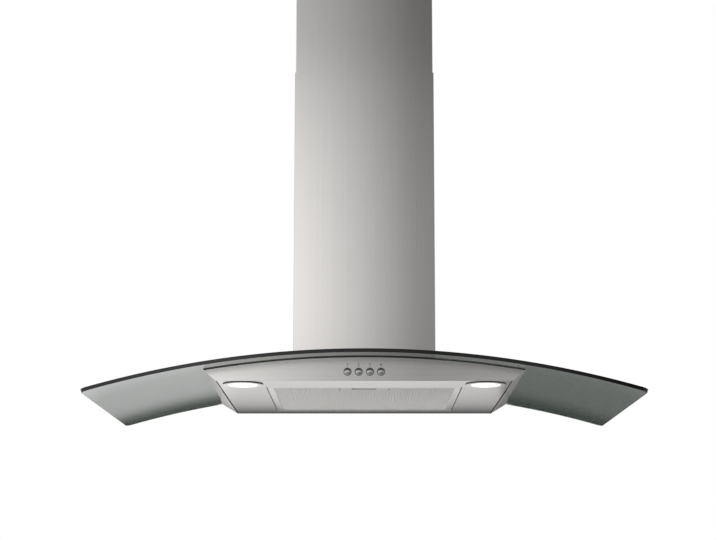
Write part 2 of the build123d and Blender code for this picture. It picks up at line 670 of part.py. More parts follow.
def quarter(start, end, centre, radius, corner):
    """A quarter of a circle in the YZ plane; corner says which way its middle lies."""
    lean = radius / sqrt(2)
    middle = (0, centre[0] + corner[0] * lean, centre[1] + corner[1] * lean)
    return ThreePointArc(start, middle, end)


def scroll_face(wall):
    """Side view of the scroll: three quarter arcs of growing radius, then a duct straight up."""
    tight = SCROLL_START_RADIUS + wall
    wider, widest = tight + SCROLL_GROWTH, tight + 2 * SCROLL_GROWTH
    y, z = IMPELLER_Y - SCROLL_GROWTH / 2, IMPELLER_Z - SCROLL_GROWTH / 2
    next_y, next_z = y + SCROLL_GROWTH, z + SCROLL_GROWTH
    tongue = (0, y - wall, z + sqrt(tight**2 - wall**2))
    front, bottom, rear = (0, y - tight, z), (0, next_y, z - wider), (0, next_y + widest, next_z)
    outline = [
        quarter(tongue, front, (y, z), tight, (-1, 1)),
        quarter(front, bottom, (next_y, z), wider, (-1, -1)),
        quarter(bottom, rear, (next_y, next_z), widest, (1, -1)),
        Polyline(rear, (0, rear[1], LID_Z), (0, tongue[1], LID_Z), tongue),
    ]
    return make_face(outline), (tongue[1], rear[1])


def mount_places():
    """The rubber mounts of the motor's spider, round the left inlet."""
    x = SPIDER_FACE - ARM_SHEET
    places = []
    for turn in MOUNT_TURNS:
        angle = radians(turn)
        places.append((x, IMPELLER_Y + MOUNT_RING_RADIUS * cos(angle),
                       IMPELLER_Z + MOUNT_RING_RADIUS * sin(angle)))
    return places


def inlet(side):
    """The flared inlet in a scroll's side wall, drawn a little longer than the wall is thick."""
    slope = INLET_FLARE / SCROLL_WALL
    inner, outer = INLET_RADIUS - STEEL * slope, INLET_RADIUS + INLET_FLARE + STEEL * slope
    cone = Rot(0, side * 90, 0) * Cone(inner, outer, SCROLL_WALL + 2 * STEEL)
    return Pos(side * (SCROLL_HALF + SCROLL_WALL / 2), IMPELLER_Y, IMPELLER_Z) * cone


def scroll_half(side):
    outer, (front, rear) = scroll_face(SCROLL_WALL)
    inner = scroll_face(0)[0]
    shell = extrude(outer, amount=side * SCROLL_FACE, dir=(1, 0, 0))
    lip = block((0, SCROLL_FACE + SCROLL_FLANGE),
                (front - SCROLL_FLANGE, rear + SCROLL_FLANGE), (LID_Z - SCROLL_WALL, LID_Z))
    shell += lip if side > 0 else mirror(lip, Plane.YZ)
    shell -= extrude(inner, amount=side * SCROLL_HALF, dir=(1, 0, 0))
    shell -= inlet(side)
    if side < 0:
        for place in mount_places():
            shell -= screw_hole("X", place)
    return shell


def blade_face():
    """One forward-curved blade, seen along the shaft: it leaves the root radially and bends once."""
    root = IMPELLER_RADIUS - BLADE_DEPTH - BLADE_SHEET
    sides = []
    for offset in (BLADE_SHEET / 2, -BLADE_SHEET / 2):
        reach = BLADE_DEPTH - offset
        for share in (0.0, 0.5, 1.0):
            angle = radians(BLADE_TURN * share)
            sides.append((0, root + reach * sin(angle), BLADE_DEPTH - reach * cos(angle)))
    upper, lower = sides[:3], sides[3:]
    return make_face(Polyline(*upper, *lower[::-1], upper[0]))


def impeller():
    """Double-inlet wheel: a middle disc, two end rings and blades from ring to ring."""
    half, thick = IMPELLER_WIDTH / 2, IMPELLER_RING_THICK
    length = IMPELLER_WIDTH - 2 * thick
    blade = Pos(-length / 2, 0, 0) * extrude(blade_face(), amount=length, dir=(1, 0, 0))
    vanes = [Rot(360.0 / BLADE_COUNT * i, 0, 0) * blade for i in range(BLADE_COUNT)]
    middle, across = (0, 0, 0), 2 * IMPELLER_RADIUS
    wheel = bar("X", (-IMPELLER_DISC / 2, IMPELLER_DISC / 2), middle, across, BLADE_COUNT)
    wheel += bar("X", (-HUB_LEFT, HUB_RIGHT), middle, HUB)
    for x in ((-half, thick - half), (half - thick, half)):
        ring = bar("X", x, middle, across, BLADE_COUNT)
        eye = bar("X", (x[0] - thick, x[1] + thick), middle, across - 2 * IMPELLER_RING, BLADE_COUNT)
        vanes.append(ring - eye)
    wheel = wheel.fuse(*vanes)
    bore = bar("X", (-half, half), middle, 2 * SHAFT_RADIUS + RUNNING_GAP)
    return Pos(0, IMPELLER_Y, IMPELLER_Z) * (wheel - bore)


def motor_shaft():
    return rod_x((MOTOR_END - SHAFT_SEAT, HUB_RIGHT + NUT_THICK + STEEL), IMPELLER_Y, IMPELLER_Z,
                 SHAFT_RADIUS)


def shaft_nut():
    x, middle = (HUB_RIGHT, HUB_RIGHT + NUT_THICK), (0, IMPELLER_Y, IMPELLER_Z)
    nut = bar("X", x, middle, SHAFT_NUT)
    return nut - bar("X", x, middle, 2 * SHAFT_RADIUS + RUNNING_GAP)


def motor():
    """Round can with a six-sided boss on both ends and a bore for the shaft."""
    middle = (0, IMPELLER_Y, IMPELLER_Z)
    can = rod_x((SPIDER_FACE + MOTOR_BOSS_HEIGHT, MOTOR_END - MOTOR_BOSS_HEIGHT), IMPELLER_Y,
                IMPELLER_Z, MOTOR_RADIUS)
    can += bar("X", (SPIDER_FACE, MOTOR_END), middle, MOTOR_BOSS)
    return can - bar("X", (MOTOR_END - SHAFT_SEAT - STEEL, MOTOR_END), middle,
                     2 * (SHAFT_RADIUS + RUNNING_GAP))


def motor_spider():
    """Three-armed bracket on the motor's rear face; each arm ends on a rubber mount."""
    x, middle = (SPIDER_FACE - ARM_SHEET, SPIDER_FACE), (0, IMPELLER_Y, IMPELLER_Z)
    spider = bar("X", x, middle, SPIDER_HUB)
    arm = block(x, (0, MOUNT_RING_RADIUS + ARM_WIDTH / 2), (-ARM_WIDTH / 2, ARM_WIDTH / 2))
    for turn in MOUNT_TURNS:
        spider += Pos(0, IMPELLER_Y, IMPELLER_Z) * Rot(turn, 0, 0) * arm
    for place in mount_places():
        spider -= screw_hole("X", place, SEAM)
    return spider - bar("X", x, middle, SPIDER_HOLE)


def rubber_mounts():
    x = (SPIDER_FACE, -SCROLL_FACE)
    sleeves = [bar("X", x, place, MOUNT_WIDTH) - screw_hole("X", place, SEAM)
               for place in mount_places()]
    return group(sleeves)


def spider_screws():
    return group([screw("X", place, 1) for place in mount_places()])


def chassis_screws():
    """Sheet-metal screws: front cover of the box, collar on the lid, lower chimney cover."""
    screws = [screw("Y", place, 1) for place in face_screw_places()]
    screws += [screw("Z", place, -1) for place in lid_screw_places()]
    screws += [screw("X", place, -1 if place[0] > 0 else 1) for place in cover_screw_places()]
    return group(screws)


def capacitor():
    place, wall = capacitor_place(), BOX_HALF - STEEL
    can = rod_x((SCROLL_FACE + CAPACITOR_GAP, wall), place[1], place[2], CAPACITOR_RADIUS)
    return can + bar("X", (wall, BOX_HALF + STUD_OUT), place, STUD)


def capacitor_nut():
    place, x = capacitor_place(), (BOX_HALF, BOX_HALF + NUT_THICK)
    return bar("X", x, place, SHAFT_NUT) - bar("X", x, place, STUD + 2 * RUNNING_GAP)


def terminal_box():
    wall, half = TERMINAL_WALL, TERMINAL_HALF
    box = block((-half, half), TERMINAL_Y, (LID_TOP, TERMINAL_TOP))
    box -= block((-half + wall, half - wall), (TERMINAL_Y[0] + wall, TERMINAL_Y[1] - wall),
                 (LID_TOP + wall, TERMINAL_TOP + wall))
    return box - bar("X", (half - wall - STEEL, half + STEEL), gland_place(), GLAND_NECK)


def terminal_cover():
    return block((-TERMINAL_HALF, TERMINAL_HALF), TERMINAL_Y,
                 (TERMINAL_TOP, TERMINAL_TOP + TERMINAL_WALL))


def gland_place():
    return TERMINAL_HALF, sum(TERMINAL_Y) / 2, (LID_TOP + TERMINAL_TOP) / 2


def cable_gland():
    """Gland for the mains lead, in the right wall of the terminal box."""
    place, seat = gland_place(), TERMINAL_HALF
    nut_end, end = seat + GLAND_NUT, seat + GLAND_LENGTH
    gland = bar("X", (seat - TERMINAL_WALL, seat), place, GLAND_NECK - 2 * RUNNING_GAP)
    gland += bar("X", (seat, nut_end), place, GLAND_BODY)
    gland += bar("X", (nut_end, end), place, GLAND_CAP)
    return gland - bar("X", (seat - 2 * TERMINAL_WALL, end + STEEL), place, GLAND_BORE)


def outlet_collar():
    """Round duct collar on a square base, with sockets for the flaps' pins and a stop for each."""
    half, top, inner = COLLAR_BASE_HALF, COLLAR_SEAT + COLLAR_HEIGHT, COLLAR_BORE
    collar = block((-half, half), (COLLAR_Y - half, COLLAR_Y + half), (LID_TOP, COLLAR_SEAT))
    collar += rod_z(0, COLLAR_Y, (LID_TOP, top), COLLAR_RADIUS)
    collar -= rod_z(0, COLLAR_Y, (LID_TOP, top), inner)
    stop_top = FLAP_Z - FLAP_SHEET / 2 - FACE_GAP
    reach, room = inner + FLAP_PIN_SEAT, FLAP_SOCKET / 2
    for side in (-1, 1):
        stop_y = sorted((COLLAR_Y + side * (inner - FLAP_STOP), COLLAR_Y + side * (inner + STEEL)))
        collar += block((-FLAP_STOP_WIDTH / 2, FLAP_STOP_WIDTH / 2), stop_y,
                        (stop_top - COLLAR_WALL, stop_top))
        pin_y = COLLAR_Y + side * FLAP_PIN_SPACING / 2
        collar -= block((-reach, reach), (pin_y - room, pin_y + room), (FLAP_Z - room, FLAP_Z + room))
    for place in lid_screw_places():
        collar -= screw_hole("Z", place)
    return collar


def flap(side):
    """Half-round non-return flap with its pin; side is -1 at the front and 1 at the rear."""
    plate = rod_z(0, COLLAR_Y, (FLAP_Z - FLAP_SHEET / 2, FLAP_Z + FLAP_SHEET / 2),
                  COLLAR_BORE - FLAP_RIM_GAP)
    near, far = COLLAR_Y + side * FLAP_PIN_SPACING / 2, COLLAR_Y + side * COLLAR_RADIUS
    plate &= block((-COLLAR_RADIUS, COLLAR_RADIUS), sorted((near, far)),
                   (FLAP_Z - FLAP_SHEET, FLAP_Z + FLAP_SHEET))
    reach = COLLAR_BORE + FLAP_PIN_SEAT - FACE_GAP
    return plate + bar("X", (-reach, reach), (0, near, FLAP_Z), FLAP_PIN)


# ---- lamps, switches and buttons
def lamp_ring(x):
    """Chrome bezel under the panel, with three spring clips up through the panel's hole."""
    bore = LAMP_LENS_RADIUS + FACE_GAP
    profile = Polyline((bore, 0, 0), (LAMP_RING_RADIUS, 0, 0),
                       (LAMP_RING_RADIUS - LAMP_RING_BEVEL, 0, -LAMP_RING_PROUD),
                       (bore, 0, -LAMP_RING_PROUD), (bore, 0, 0))
    ring = revolve(make_face(profile), Axis.Z)
    outer, hook_z = LAMP_HOLE_RADIUS - FACE_GAP, STEEL + FACE_GAP
    clip = block((outer - CLIP_SHEET, outer), (-CLIP_WIDTH / 2, CLIP_WIDTH / 2), (0, hook_z))
    clip += block((outer - CLIP_SHEET, outer + CLIP_HOOK), (-CLIP_WIDTH / 2, CLIP_WIDTH / 2),
                  (hook_z, hook_z + CLIP_SHEET))
    for i in range(CLIP_COUNT):
        ring += Rot(0, 0, 360.0 / CLIP_COUNT * i) * clip
    return Pos(x, LAMP_Y, 0) * ring


def lamp_lens(x):
    """Frosted glass: a round edge that lies on the ring and a shallow bulge through it."""
    rim, edge, low = LAMP_LENS_RADIUS, LAMP_LENS_RADIUS + STEEL, -LAMP_RING_PROUD
    crest = low - LAMP_LENS_BULGE
    profile = Polyline((0, 0, crest), (LENS_FLAT_RADIUS, 0, crest), (rim, 0, low), (rim, 0, 0),
                       (edge, 0, 0), (edge, 0, LENS_TOP), (0, 0, LENS_TOP), (0, 0, crest))
    return Pos(x, LAMP_Y, 0) * revolve(make_face(profile), Axis.Z)


def can_form(radius, z):
    """The eight-sided form of a lamp can, with flats to the front, rear and sides."""
    turn = 180.0 / LAMP_CAN_SIDES
    face = RegularPolygon(radius, LAMP_CAN_SIDES, major_radius=False, rotation=turn)
    return Pos(0, 0, z[0]) * extrude(face, amount=z[1] - z[0])


def lamp_can(x):
    low, high = STEEL, STEEL + LAMP_CAN_HEIGHT
    can = can_form(LAMP_CAN_RADIUS, (low, high)) - can_form(LAMP_CAN_RADIUS - STEEL,
                                                            (low, high - STEEL))
    hole = LAMP_HOLDER / 2 + SEAM
    inboard = -1 if x > 0 else 1
    can -= block(sorted((0, inboard * (LAMP_CAN_RADIUS + STEEL))), (-hole, hole),
                 (LAMP_MID - hole / 2, LAMP_MID + hole / 2))
    return Pos(x, LAMP_Y, 0) * can


def lamp_holder(x):
    """Ceramic lamp holder, pushed in through the side of the can."""
    inboard = -1 if x > 0 else 1
    span = sorted((x + inboard * (LAMP_CAN_RADIUS - LAMP_HOLDER),
                   x + inboard * (LAMP_CAN_RADIUS + LAMP_HOLDER / 2)))
    return block(span, (LAMP_Y - LAMP_HOLDER / 2, LAMP_Y + LAMP_HOLDER / 2),
                 (LAMP_MID - LAMP_HOLDER / 4, LAMP_MID + LAMP_HOLDER / 4))


def lamp_bulb(x):
    """Halogen capsule lying across the can, its pinch end against the holder."""
    inboard = -1 if x > 0 else 1
    seat = x + inboard * (LAMP_CAN_RADIUS - LAMP_HOLDER)
    pinch_end = seat - inboard * PINCH_LENGTH
    neck = block(sorted((seat, pinch_end)), (LAMP_Y - PINCH_WIDTH / 2, LAMP_Y + PINCH_WIDTH / 2),
                 (LAMP_MID - PINCH_THICK / 2, LAMP_MID + PINCH_THICK / 2))
    span = sorted((pinch_end, seat - inboard * BULB_LENGTH))
    return neck + bar("X", span, (0, LAMP_Y, LAMP_MID), BULB_WIDTH)


def lamp_transformer():
    """Low-voltage supply of the lamps, on the panel beside the plenum."""
    inner = LINER_HALF + STEEL + TRANSFORMER_SIDE_GAP
    front = LAMP_Y + LAMP_CAN_RADIUS + TRANSFORMER_SETBACK
    x, rear = (-inner - TRANSFORMER_WIDTH, -inner), front + TRANSFORMER_LENGTH
    case = block(x, (front, rear), (STEEL, STEEL + TRANSFORMER_HEIGHT))
    foot = block(x, (front - EDGE_DISTANCE, rear + EDGE_DISTANCE),
                 (STEEL, STEEL + TRANSFORMER_FOOT))
    return case + foot


def switch_block():
    """Row of push switches in one case, with a guide for each button's stem."""
    case = block((-SWITCH_HALF, SWITCH_HALF), SWITCH_Y, SWITCH_Z)
    for x in button_places():
        case -= stem(x, (SWITCH_Y[0], STEM_END + BUTTON_TRAVEL + STEEL), RUNNING_GAP)
    return case


def switch_bracket():
    """Folded bracket between the switch block and the underside panel."""
    half = SWITCH_HALF + EDGE_DISTANCE
    foot = block((-half, half), (SWITCH_Y[0], SWITCH_Y[1] + STEEL), (STEEL, 2 * STEEL))
    back = block((-half, half), (SWITCH_Y[1], SWITCH_Y[1] + STEEL), (STEEL, SWITCH_Z[1]))
    return foot + back


def stem(x, y, gap):
    """A button's square stem, or with a gap its guide."""
    half = STEM_WIDTH / 2 + gap
    return block((x - half, x + half), y, (BUTTON_HEIGHT - half, BUTTON_HEIGHT + half))


def button(x):
    """Chromed push button: a low dome with a flat top, a skirt and a stem."""
    place = (x, 0, BUTTON_HEIGHT)
    front, rear = -BODY_DEPTH - BUTTON_PROUD, FASCIA_BACK + BUTTON_SKIRT
    knob = bar("Y", (front + BUTTON_DOME, rear), place, BUTTON_WIDTH, BUTTON_SIDES)
    foot = RegularPolygon(BUTTON_WIDTH / 2, BUTTON_SIDES, major_radius=False)
    dome = Plane.XZ * extrude(foot, amount=BUTTON_DOME, taper=BUTTON_TAPER)
    knob += Pos(x, front + BUTTON_DOME, BUTTON_HEIGHT) * dome
    return knob + stem(x, (rear, STEM_END), 0)


# ---- grease filter and its latch
def filter_frame():
    frame = block((-FILTER_HALF, FILTER_HALF), (FILTER_FRONT, FILTER_REAR), (0, FILTER_THICK))
    sheet, lip = FILTER_SHEET, FILTER_BORDER
    frame -= block((-FILTER_HALF + sheet, FILTER_HALF - sheet),
                   (FILTER_FRONT + sheet, FILTER_REAR - sheet), (sheet, FILTER_THICK - sheet))
    frame -= block((-FILTER_HALF + lip, FILTER_HALF - lip),
                   (FILTER_FRONT + lip, FILTER_REAR - lip), (-sheet, FILTER_THICK + sheet))
    frame -= block((-NOSE_HALF - FACE_GAP, NOSE_HALF + FACE_GAP),
                   (FILTER_FRONT - sheet, FILTER_FRONT + 2 * sheet),
                   (BAR_Z[0] - FACE_GAP, BAR_Z[1] + FACE_GAP))
    return frame - bar("X", (-FILTER_HALF - sheet, FILTER_HALF + sheet), (0, PIVOT_Y, PIVOT_Z),
                       2 * (PIVOT_RADIUS + RUNNING_GAP))


def mesh_outline(z):
    """The area of the mesh layers: under the frame's lips, and cut out round the latch."""
    half = FILTER_HALF - FILTER_BORDER + MESH_LAP
    area = block((-half, half), (FILTER_FRONT + FILTER_BORDER - MESH_LAP,
                                 FILTER_REAR - FILTER_BORDER + MESH_LAP), z)
    latch_half = LATCH_WIDTH / 2 + FACE_GAP
    return area - block((-latch_half, latch_half), (FILTER_FRONT, LATCH_REAR + FACE_GAP),
                        (z[0] - STEEL, z[1] + STEEL))


def mesh_front():
    return mesh_outline((FILTER_SHEET, FILTER_SHEET + MESH_SHEET))


def mesh_rear():
    top = FILTER_THICK - FILTER_SHEET
    return mesh_outline((top - MESH_SHEET, top))


def filter_pack():
    """Crimped middle layer: one sheet folded in a zigzag from front mesh to rear mesh."""
    low = FILTER_SHEET + MESH_SHEET + PACK_GAP
    high = FILTER_THICK - low
    half = FILTER_HALF - FILTER_BORDER + MESH_LAP - PACK_SIDE_GAP
    folds = int(2 * half / CRIMP_PITCH)
    start = -folds * CRIMP_PITCH / 2
    upper, lower = [], []
    for i in range(2 * folds + 1):
        x = start + i * CRIMP_PITCH / 2
        z = low if i % 2 == 0 else high - PACK_SHEET
        upper.append((x, 0, z + PACK_SHEET))
        lower.append((x, 0, z))
    face = make_face(Polyline(*upper, *lower[::-1], upper[0]))
    zigzag = Pos(0, FILTER_REAR, 0) * extrude(face, amount=FILTER_REAR - FILTER_FRONT,
                                              dir=(0, -1, 0))
    return zigzag & mesh_outline((low, high))


def filter_pivots():
    """Lugs in the rear corners of the frame, each with its hinge pin out to the side."""
    lugs = []
    for side in (-1, 1):
        outer = FILTER_HALF - FILTER_SHEET
        lug = block(sorted((side * (outer - LUG_SIZE), side * outer)),
                    (FILTER_REAR - FILTER_SHEET - LUG_SIZE, FILTER_REAR - FILTER_SHEET),
                    (FILTER_SHEET, FILTER_THICK - FILTER_SHEET))
        pin = rod_x(sorted((side * outer, side * (FILTER_HALF + PIVOT_REACH))), PIVOT_Y, PIVOT_Z,
                    PIVOT_RADIUS)
        lugs.append(lug + pin)
    return group(lugs)


def hinge_ears():
    """Ears on the panel that carry the filter's hinge pins."""
    ears = []
    inner = OPENING_HALF + STEEL + FACE_GAP
    y = (PIVOT_Y - EAR_LENGTH / 2, PIVOT_Y + EAR_LENGTH / 2)
    for side in (-1, 1):
        ear = block(sorted((side * inner, side * (inner + EAR_THICK))), y,
                    (STEEL, STEEL + EAR_HEIGHT))
        ear += block(sorted((side * inner, side * (inner + EAR_THICK + STEEL))), y,
                     (STEEL, 2 * STEEL))
        span = sorted((side * (inner - STEEL), side * (inner + 3 * EAR_THICK)))
        ears.append(ear - bar("X", span, (0, PIVOT_Y, PIVOT_Z), 2 * (PIVOT_RADIUS + RUNNING_GAP)))
    return group(ears)


def latch_housing():
    """Plate with the finger slot; the bar slides in it."""
    z = (LATCH_INSET, FILTER_THICK - FILTER_SHEET)
    plate = block((-LATCH_WIDTH / 2, LATCH_WIDTH / 2), (LATCH_FRONT, LATCH_REAR), z)
    room = (BAR_Z[0] - FACE_GAP, BAR_Z[1] + FACE_GAP)
    plate -= block((-NOSE_HALF - FACE_GAP, NOSE_HALF + FACE_GAP), (LATCH_FRONT - STEEL, BAR_FRONT),
                   room)
    plate -= block((-BAR_HALF - FACE_GAP, BAR_HALF + FACE_GAP),
                   (BAR_FRONT - FACE_GAP, SLOT_REAR), room)
    return plate - block((-SLOT_HALF, SLOT_HALF), (BAR_FRONT - FACE_GAP, SLOT_REAR),
                         (-STEEL, room[1]))


def latch_slide():
    """Sliding bar with its nose at the front and a finger grip that hangs in the slot."""
    bar_y = (BAR_FRONT, BAR_FRONT + LATCH_BAR)
    slide = block((-BAR_HALF, BAR_HALF), bar_y, BAR_Z)
    slide += block((-NOSE_HALF, NOSE_HALF), (OPENING_FRONT + FACE_GAP, bar_y[1]), BAR_Z)
    grip = SLOT_HALF - SEAM
    return slide + block((-grip, grip), bar_y, (STEEL, BAR_Z[1]))


def latch_springs():
    """Two flat zigzag springs that push the bar to the front."""
    front, rear = BAR_FRONT + LATCH_BAR, SLOT_REAR
    step = (rear - front - SPRING_WIRE) / SPRING_FOLDS
    inner, outer = SLOT_HALF + SPRING_MARGIN, BAR_HALF - SPRING_MARGIN
    face = None
    for i in range(SPRING_FOLDS):
        y = front + i * step
        ends = [(inner, y), (outer, y + step)] if i % 2 == 0 else [(outer, y), (inner, y + step)]
        (x0, y0), (x1, y1) = ends
        leg = make_face(Polyline((x0, y0), (x1, y1), (x1, y1 + SPRING_WIRE),
                                 (x0, y0 + SPRING_WIRE), (x0, y0)))
        face = leg if face is None else face + leg
    spring = Pos(0, 0, BAR_Z[0]) * extrude(face, amount=LATCH_BAR, dir=(0, 0, 1))
    return group([spring, mirror(spring, Plane.YZ)])


# ---- chimney covers and the upper wall bracket
def chimney_lower():
    shape = cover(COVER_HALF, -CHIMNEY_DEPTH, 0, CHIMNEY_RETURN, (0, LOWER_TOP))
    seat = GLASS_BEND_RADIUS + FACE_GAP
    shape -= under_bend(seat, GLASS_WIDTH / 2, (-GLASS_DEPTH, STEEL), -STEEL)
    for place in cover_screw_places():
        shape -= screw_hole("X", place, SEAM)
    return shape


def upper_screw_places():
    y = UPPER_REAR - BRACKET_EAR / 2 - BRACKET_SHEET
    return [(side * UPPER_HALF, y, BRACKET_MID) for side in (-1, 1)]


def chimney_upper():
    z = (UPPER_BOTTOM, UPPER_TOP)
    shape = cover(UPPER_HALF, UPPER_FRONT, UPPER_REAR, CHIMNEY_RETURN, z)
    for place in upper_screw_places():
        shape -= screw_hole("X", place)
    return shape


def upper_bracket():
    """Strip screwed to the wall, stepped round the cover's lips to an ear on each side."""
    z = (UPPER_TOP - BRACKET_HEIGHT, UPPER_TOP)
    sheet = BRACKET_SHEET
    lip_inner = UPPER_HALF - CHIMNEY_RETURN - FACE_GAP
    ear_outer = UPPER_HALF - CHIMNEY_SHEET - FACE_GAP
    step_y = UPPER_REAR - CHIMNEY_SHEET - FACE_GAP - sheet
    bracket = block((-lip_inner, lip_inner), (-sheet, 0), z)
    for parts in (
        both(lip_inner - sheet, lip_inner, (step_y, 0), z),
        both(lip_inner - sheet, ear_outer, (step_y, step_y + sheet), z),
        both(ear_outer - sheet, ear_outer, (step_y - BRACKET_EAR, step_y + sheet), z),
    ):
        bracket = bracket + parts[0] + parts[1]
    for side in (-1, 1):
        bracket -= rod_y(side * BRACKET_HOLE_SPACING / 2, (-2 * sheet, sheet), BRACKET_MID,
                         BRACKET_HOLE_RADIUS)
    for place in upper_screw_places():
        bracket -= screw_hole("X", place)
    return bracket


def upper_screws():
    return group([screw("X", place, -1 if place[0] > 0 else 1) for place in upper_screw_places()])


def glide_pads():
    """Thin plastic pads in the top of the lower cover, which the upper cover slides past."""
    z = (LOWER_TOP - EDGE_DISTANCE - PAD_HEIGHT, LOWER_TOP - EDGE_DISTANCE)
    front = -CHIMNEY_DEPTH + CHIMNEY_SHEET
    pads = []
    for y in (front + PAD_WIDTH, -2 * PAD_WIDTH):
        pads += both(COVER_INNER_HALF - PAD_THICK, COVER_INNER_HALF, (y, y + PAD_WIDTH), z)
    pads += both(COVER_INNER_HALF - 2 * PAD_WIDTH, COVER_INNER_HALF - PAD_WIDTH,
                 (front, front + PAD_THICK), z)
    return group(pads)


# ---- write one file for each piece
def pieces():
    found = {
        "glass_canopy": glass_canopy(),
        "glass_gasket": glass_gasket(),
        "body_shell": body_shell(),
        "body_top": body_top(),
        "underside_panel": underside_panel(),
        "plenum_liner": plenum_liner(),
        "air_neck": air_neck(),
        "glass_bolts": glass_bolts(),
        "glass_washers": glass_washers(),
        "glass_nuts": glass_nuts(),
        "chassis_tray": chassis_tray(),
        "blower_box": blower_box(),
        "blower_cover": blower_cover(),
        "blower_lid": blower_lid(),
        "scroll_left": scroll_half(-1),
        "scroll_right": scroll_half(1),
        "impeller": impeller(),
        "motor_shaft": motor_shaft(),
        "shaft_nut": shaft_nut(),
        "motor": motor(),
        "motor_spider": motor_spider(),
        "rubber_mounts": rubber_mounts(),
        "spider_screws": spider_screws(),
        "chassis_screws": chassis_screws(),
        "capacitor": capacitor(),
        "capacitor_nut": capacitor_nut(),
        "terminal_box": terminal_box(),
        "terminal_cover": terminal_cover(),
        "cable_gland": cable_gland(),
        "outlet_collar": outlet_collar(),
        "flap_front": flap(-1),
        "flap_rear": flap(1),
        "lamp_transformer": lamp_transformer(),
        "switch_block": switch_block(),
        "switch_bracket": switch_bracket(),
        "filter_frame": filter_frame(),
        "mesh_front": mesh_front(),
        "mesh_rear": mesh_rear(),
        "filter_pack": filter_pack(),
        "filter_pivots": filter_pivots(),
        "hinge_ears": hinge_ears(),
        "latch_housing": latch_housing(),
        "latch_slide": latch_slide(),
        "latch_springs": latch_springs(),
        "chimney_lower": chimney_lower(),
        "chimney_upper": chimney_upper(),
        "upper_bracket": upper_bracket(),
        "upper_screws": upper_screws(),
        "glide_pads": glide_pads(),
    }
    for number, x in enumerate(button_places(), start=1):
        found[f"button_{number}"] = button(x)
    lamp_parts = {"lamp_rings": lamp_ring, "lamp_lenses": lamp_lens, "lamp_cans": lamp_can,
                  "lamp_holders": lamp_holder, "lamp_bulbs": lamp_bulb}
    for part_name, make in lamp_parts.items():
        found[part_name] = group([make(x) for x in (-LAMP_X, LAMP_X)])
    return found


os.makedirs("parts", exist_ok=True)
for node, shape in pieces().items():
    export_step(shape, f"parts/{node}.step")
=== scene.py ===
"""A curved glass range hood in a plain pale studio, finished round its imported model."""

import math

import bmesh
import bpy
from mathutils import Matrix, Vector


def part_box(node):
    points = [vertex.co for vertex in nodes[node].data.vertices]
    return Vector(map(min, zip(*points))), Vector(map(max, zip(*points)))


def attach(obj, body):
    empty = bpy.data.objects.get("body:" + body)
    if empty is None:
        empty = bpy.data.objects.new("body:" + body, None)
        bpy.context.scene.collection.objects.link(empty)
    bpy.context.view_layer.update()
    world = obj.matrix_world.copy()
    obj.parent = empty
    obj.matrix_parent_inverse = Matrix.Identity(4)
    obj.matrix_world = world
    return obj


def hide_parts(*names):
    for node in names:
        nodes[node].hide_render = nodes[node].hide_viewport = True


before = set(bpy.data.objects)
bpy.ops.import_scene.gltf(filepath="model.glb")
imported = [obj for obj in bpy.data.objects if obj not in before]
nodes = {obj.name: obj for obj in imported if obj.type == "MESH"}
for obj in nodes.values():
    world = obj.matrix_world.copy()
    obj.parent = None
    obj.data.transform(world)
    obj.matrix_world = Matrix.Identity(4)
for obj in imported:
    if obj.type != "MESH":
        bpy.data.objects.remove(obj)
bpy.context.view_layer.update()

# ---- Camera
# It stands before the hood and below it, and looks up, so that the underside shows and the chimney
# runs out of the frame.
IMAGE_WIDTH = 716
FOCAL_PIXELS = 1592
SIDE_SHIFT_PIXELS = -6.3
UP_SHIFT = 0.12                     # share of the image's width
SENSOR_WIDTH = 36.0
CAMERA_SPOT = (0, -2.991, -0.3475)
CAMERA_TILT = 8.70                  # degrees above level
CAMERA_REACH = (0.05, 60)


def put(name, data):
    """A new object in the scene."""
    made = bpy.data.objects.new(name, data)
    bpy.context.scene.collection.objects.link(made)
    return made


camera_data = bpy.data.cameras.new("camera")
camera_data.sensor_width = SENSOR_WIDTH
camera_data.lens = FOCAL_PIXELS * SENSOR_WIDTH / IMAGE_WIDTH
camera_data.shift_x = SIDE_SHIFT_PIXELS / IMAGE_WIDTH
camera_data.shift_y = UP_SHIFT
camera_data.clip_start, camera_data.clip_end = CAMERA_REACH
camera = put("camera", camera_data)
camera.location = CAMERA_SPOT
camera.rotation_euler = (math.radians(90 + CAMERA_TILT), 0, 0)
bpy.context.scene.camera = camera
bpy.context.scene.view_settings.view_transform = "Standard"


# ---- Studio
# White all round for the camera and through glass. What shines sees a room that is bright on the
# left and dark on the right, and four graded cards near the hood. Soft lamps light the rest.
def link(tree, source, target):
    tree.links.new(source, target)


def math_node(tree, operation, first, second=0.0, third=0.0):
    """A Math node; each of its inputs is a socket or a number."""
    node = tree.nodes.new("ShaderNodeMath")
    node.operation = operation
    for i, value in enumerate((first, second, third)):
        if isinstance(value, (int, float)):
            node.inputs[i].default_value = value
        else:
            link(tree, value, node.inputs[i])
    return node.outputs[0]


def stepped(tree, source, stops):
    """A grey level that changes with the source from stop to stop."""
    node = tree.nodes.new("ShaderNodeValToRGB")
    ramp = node.color_ramp
    ramp.elements[0].position, ramp.elements[1].position = stops[0][0], stops[-1][0]
    for place, level in stops[1:-1]:
        ramp.elements.new(place)
    for element, (place, level) in zip(ramp.elements, stops):
        element.color = (level, level, level, 1)
    link(tree, source, node.inputs["Fac"])
    return node.outputs["Color"]


def halved(tree, source):
    """Turns -1 to 1 into 0 to 1, for a run of stops."""
    return math_node(tree, "MULTIPLY_ADD", source, 0.5, 0.5)


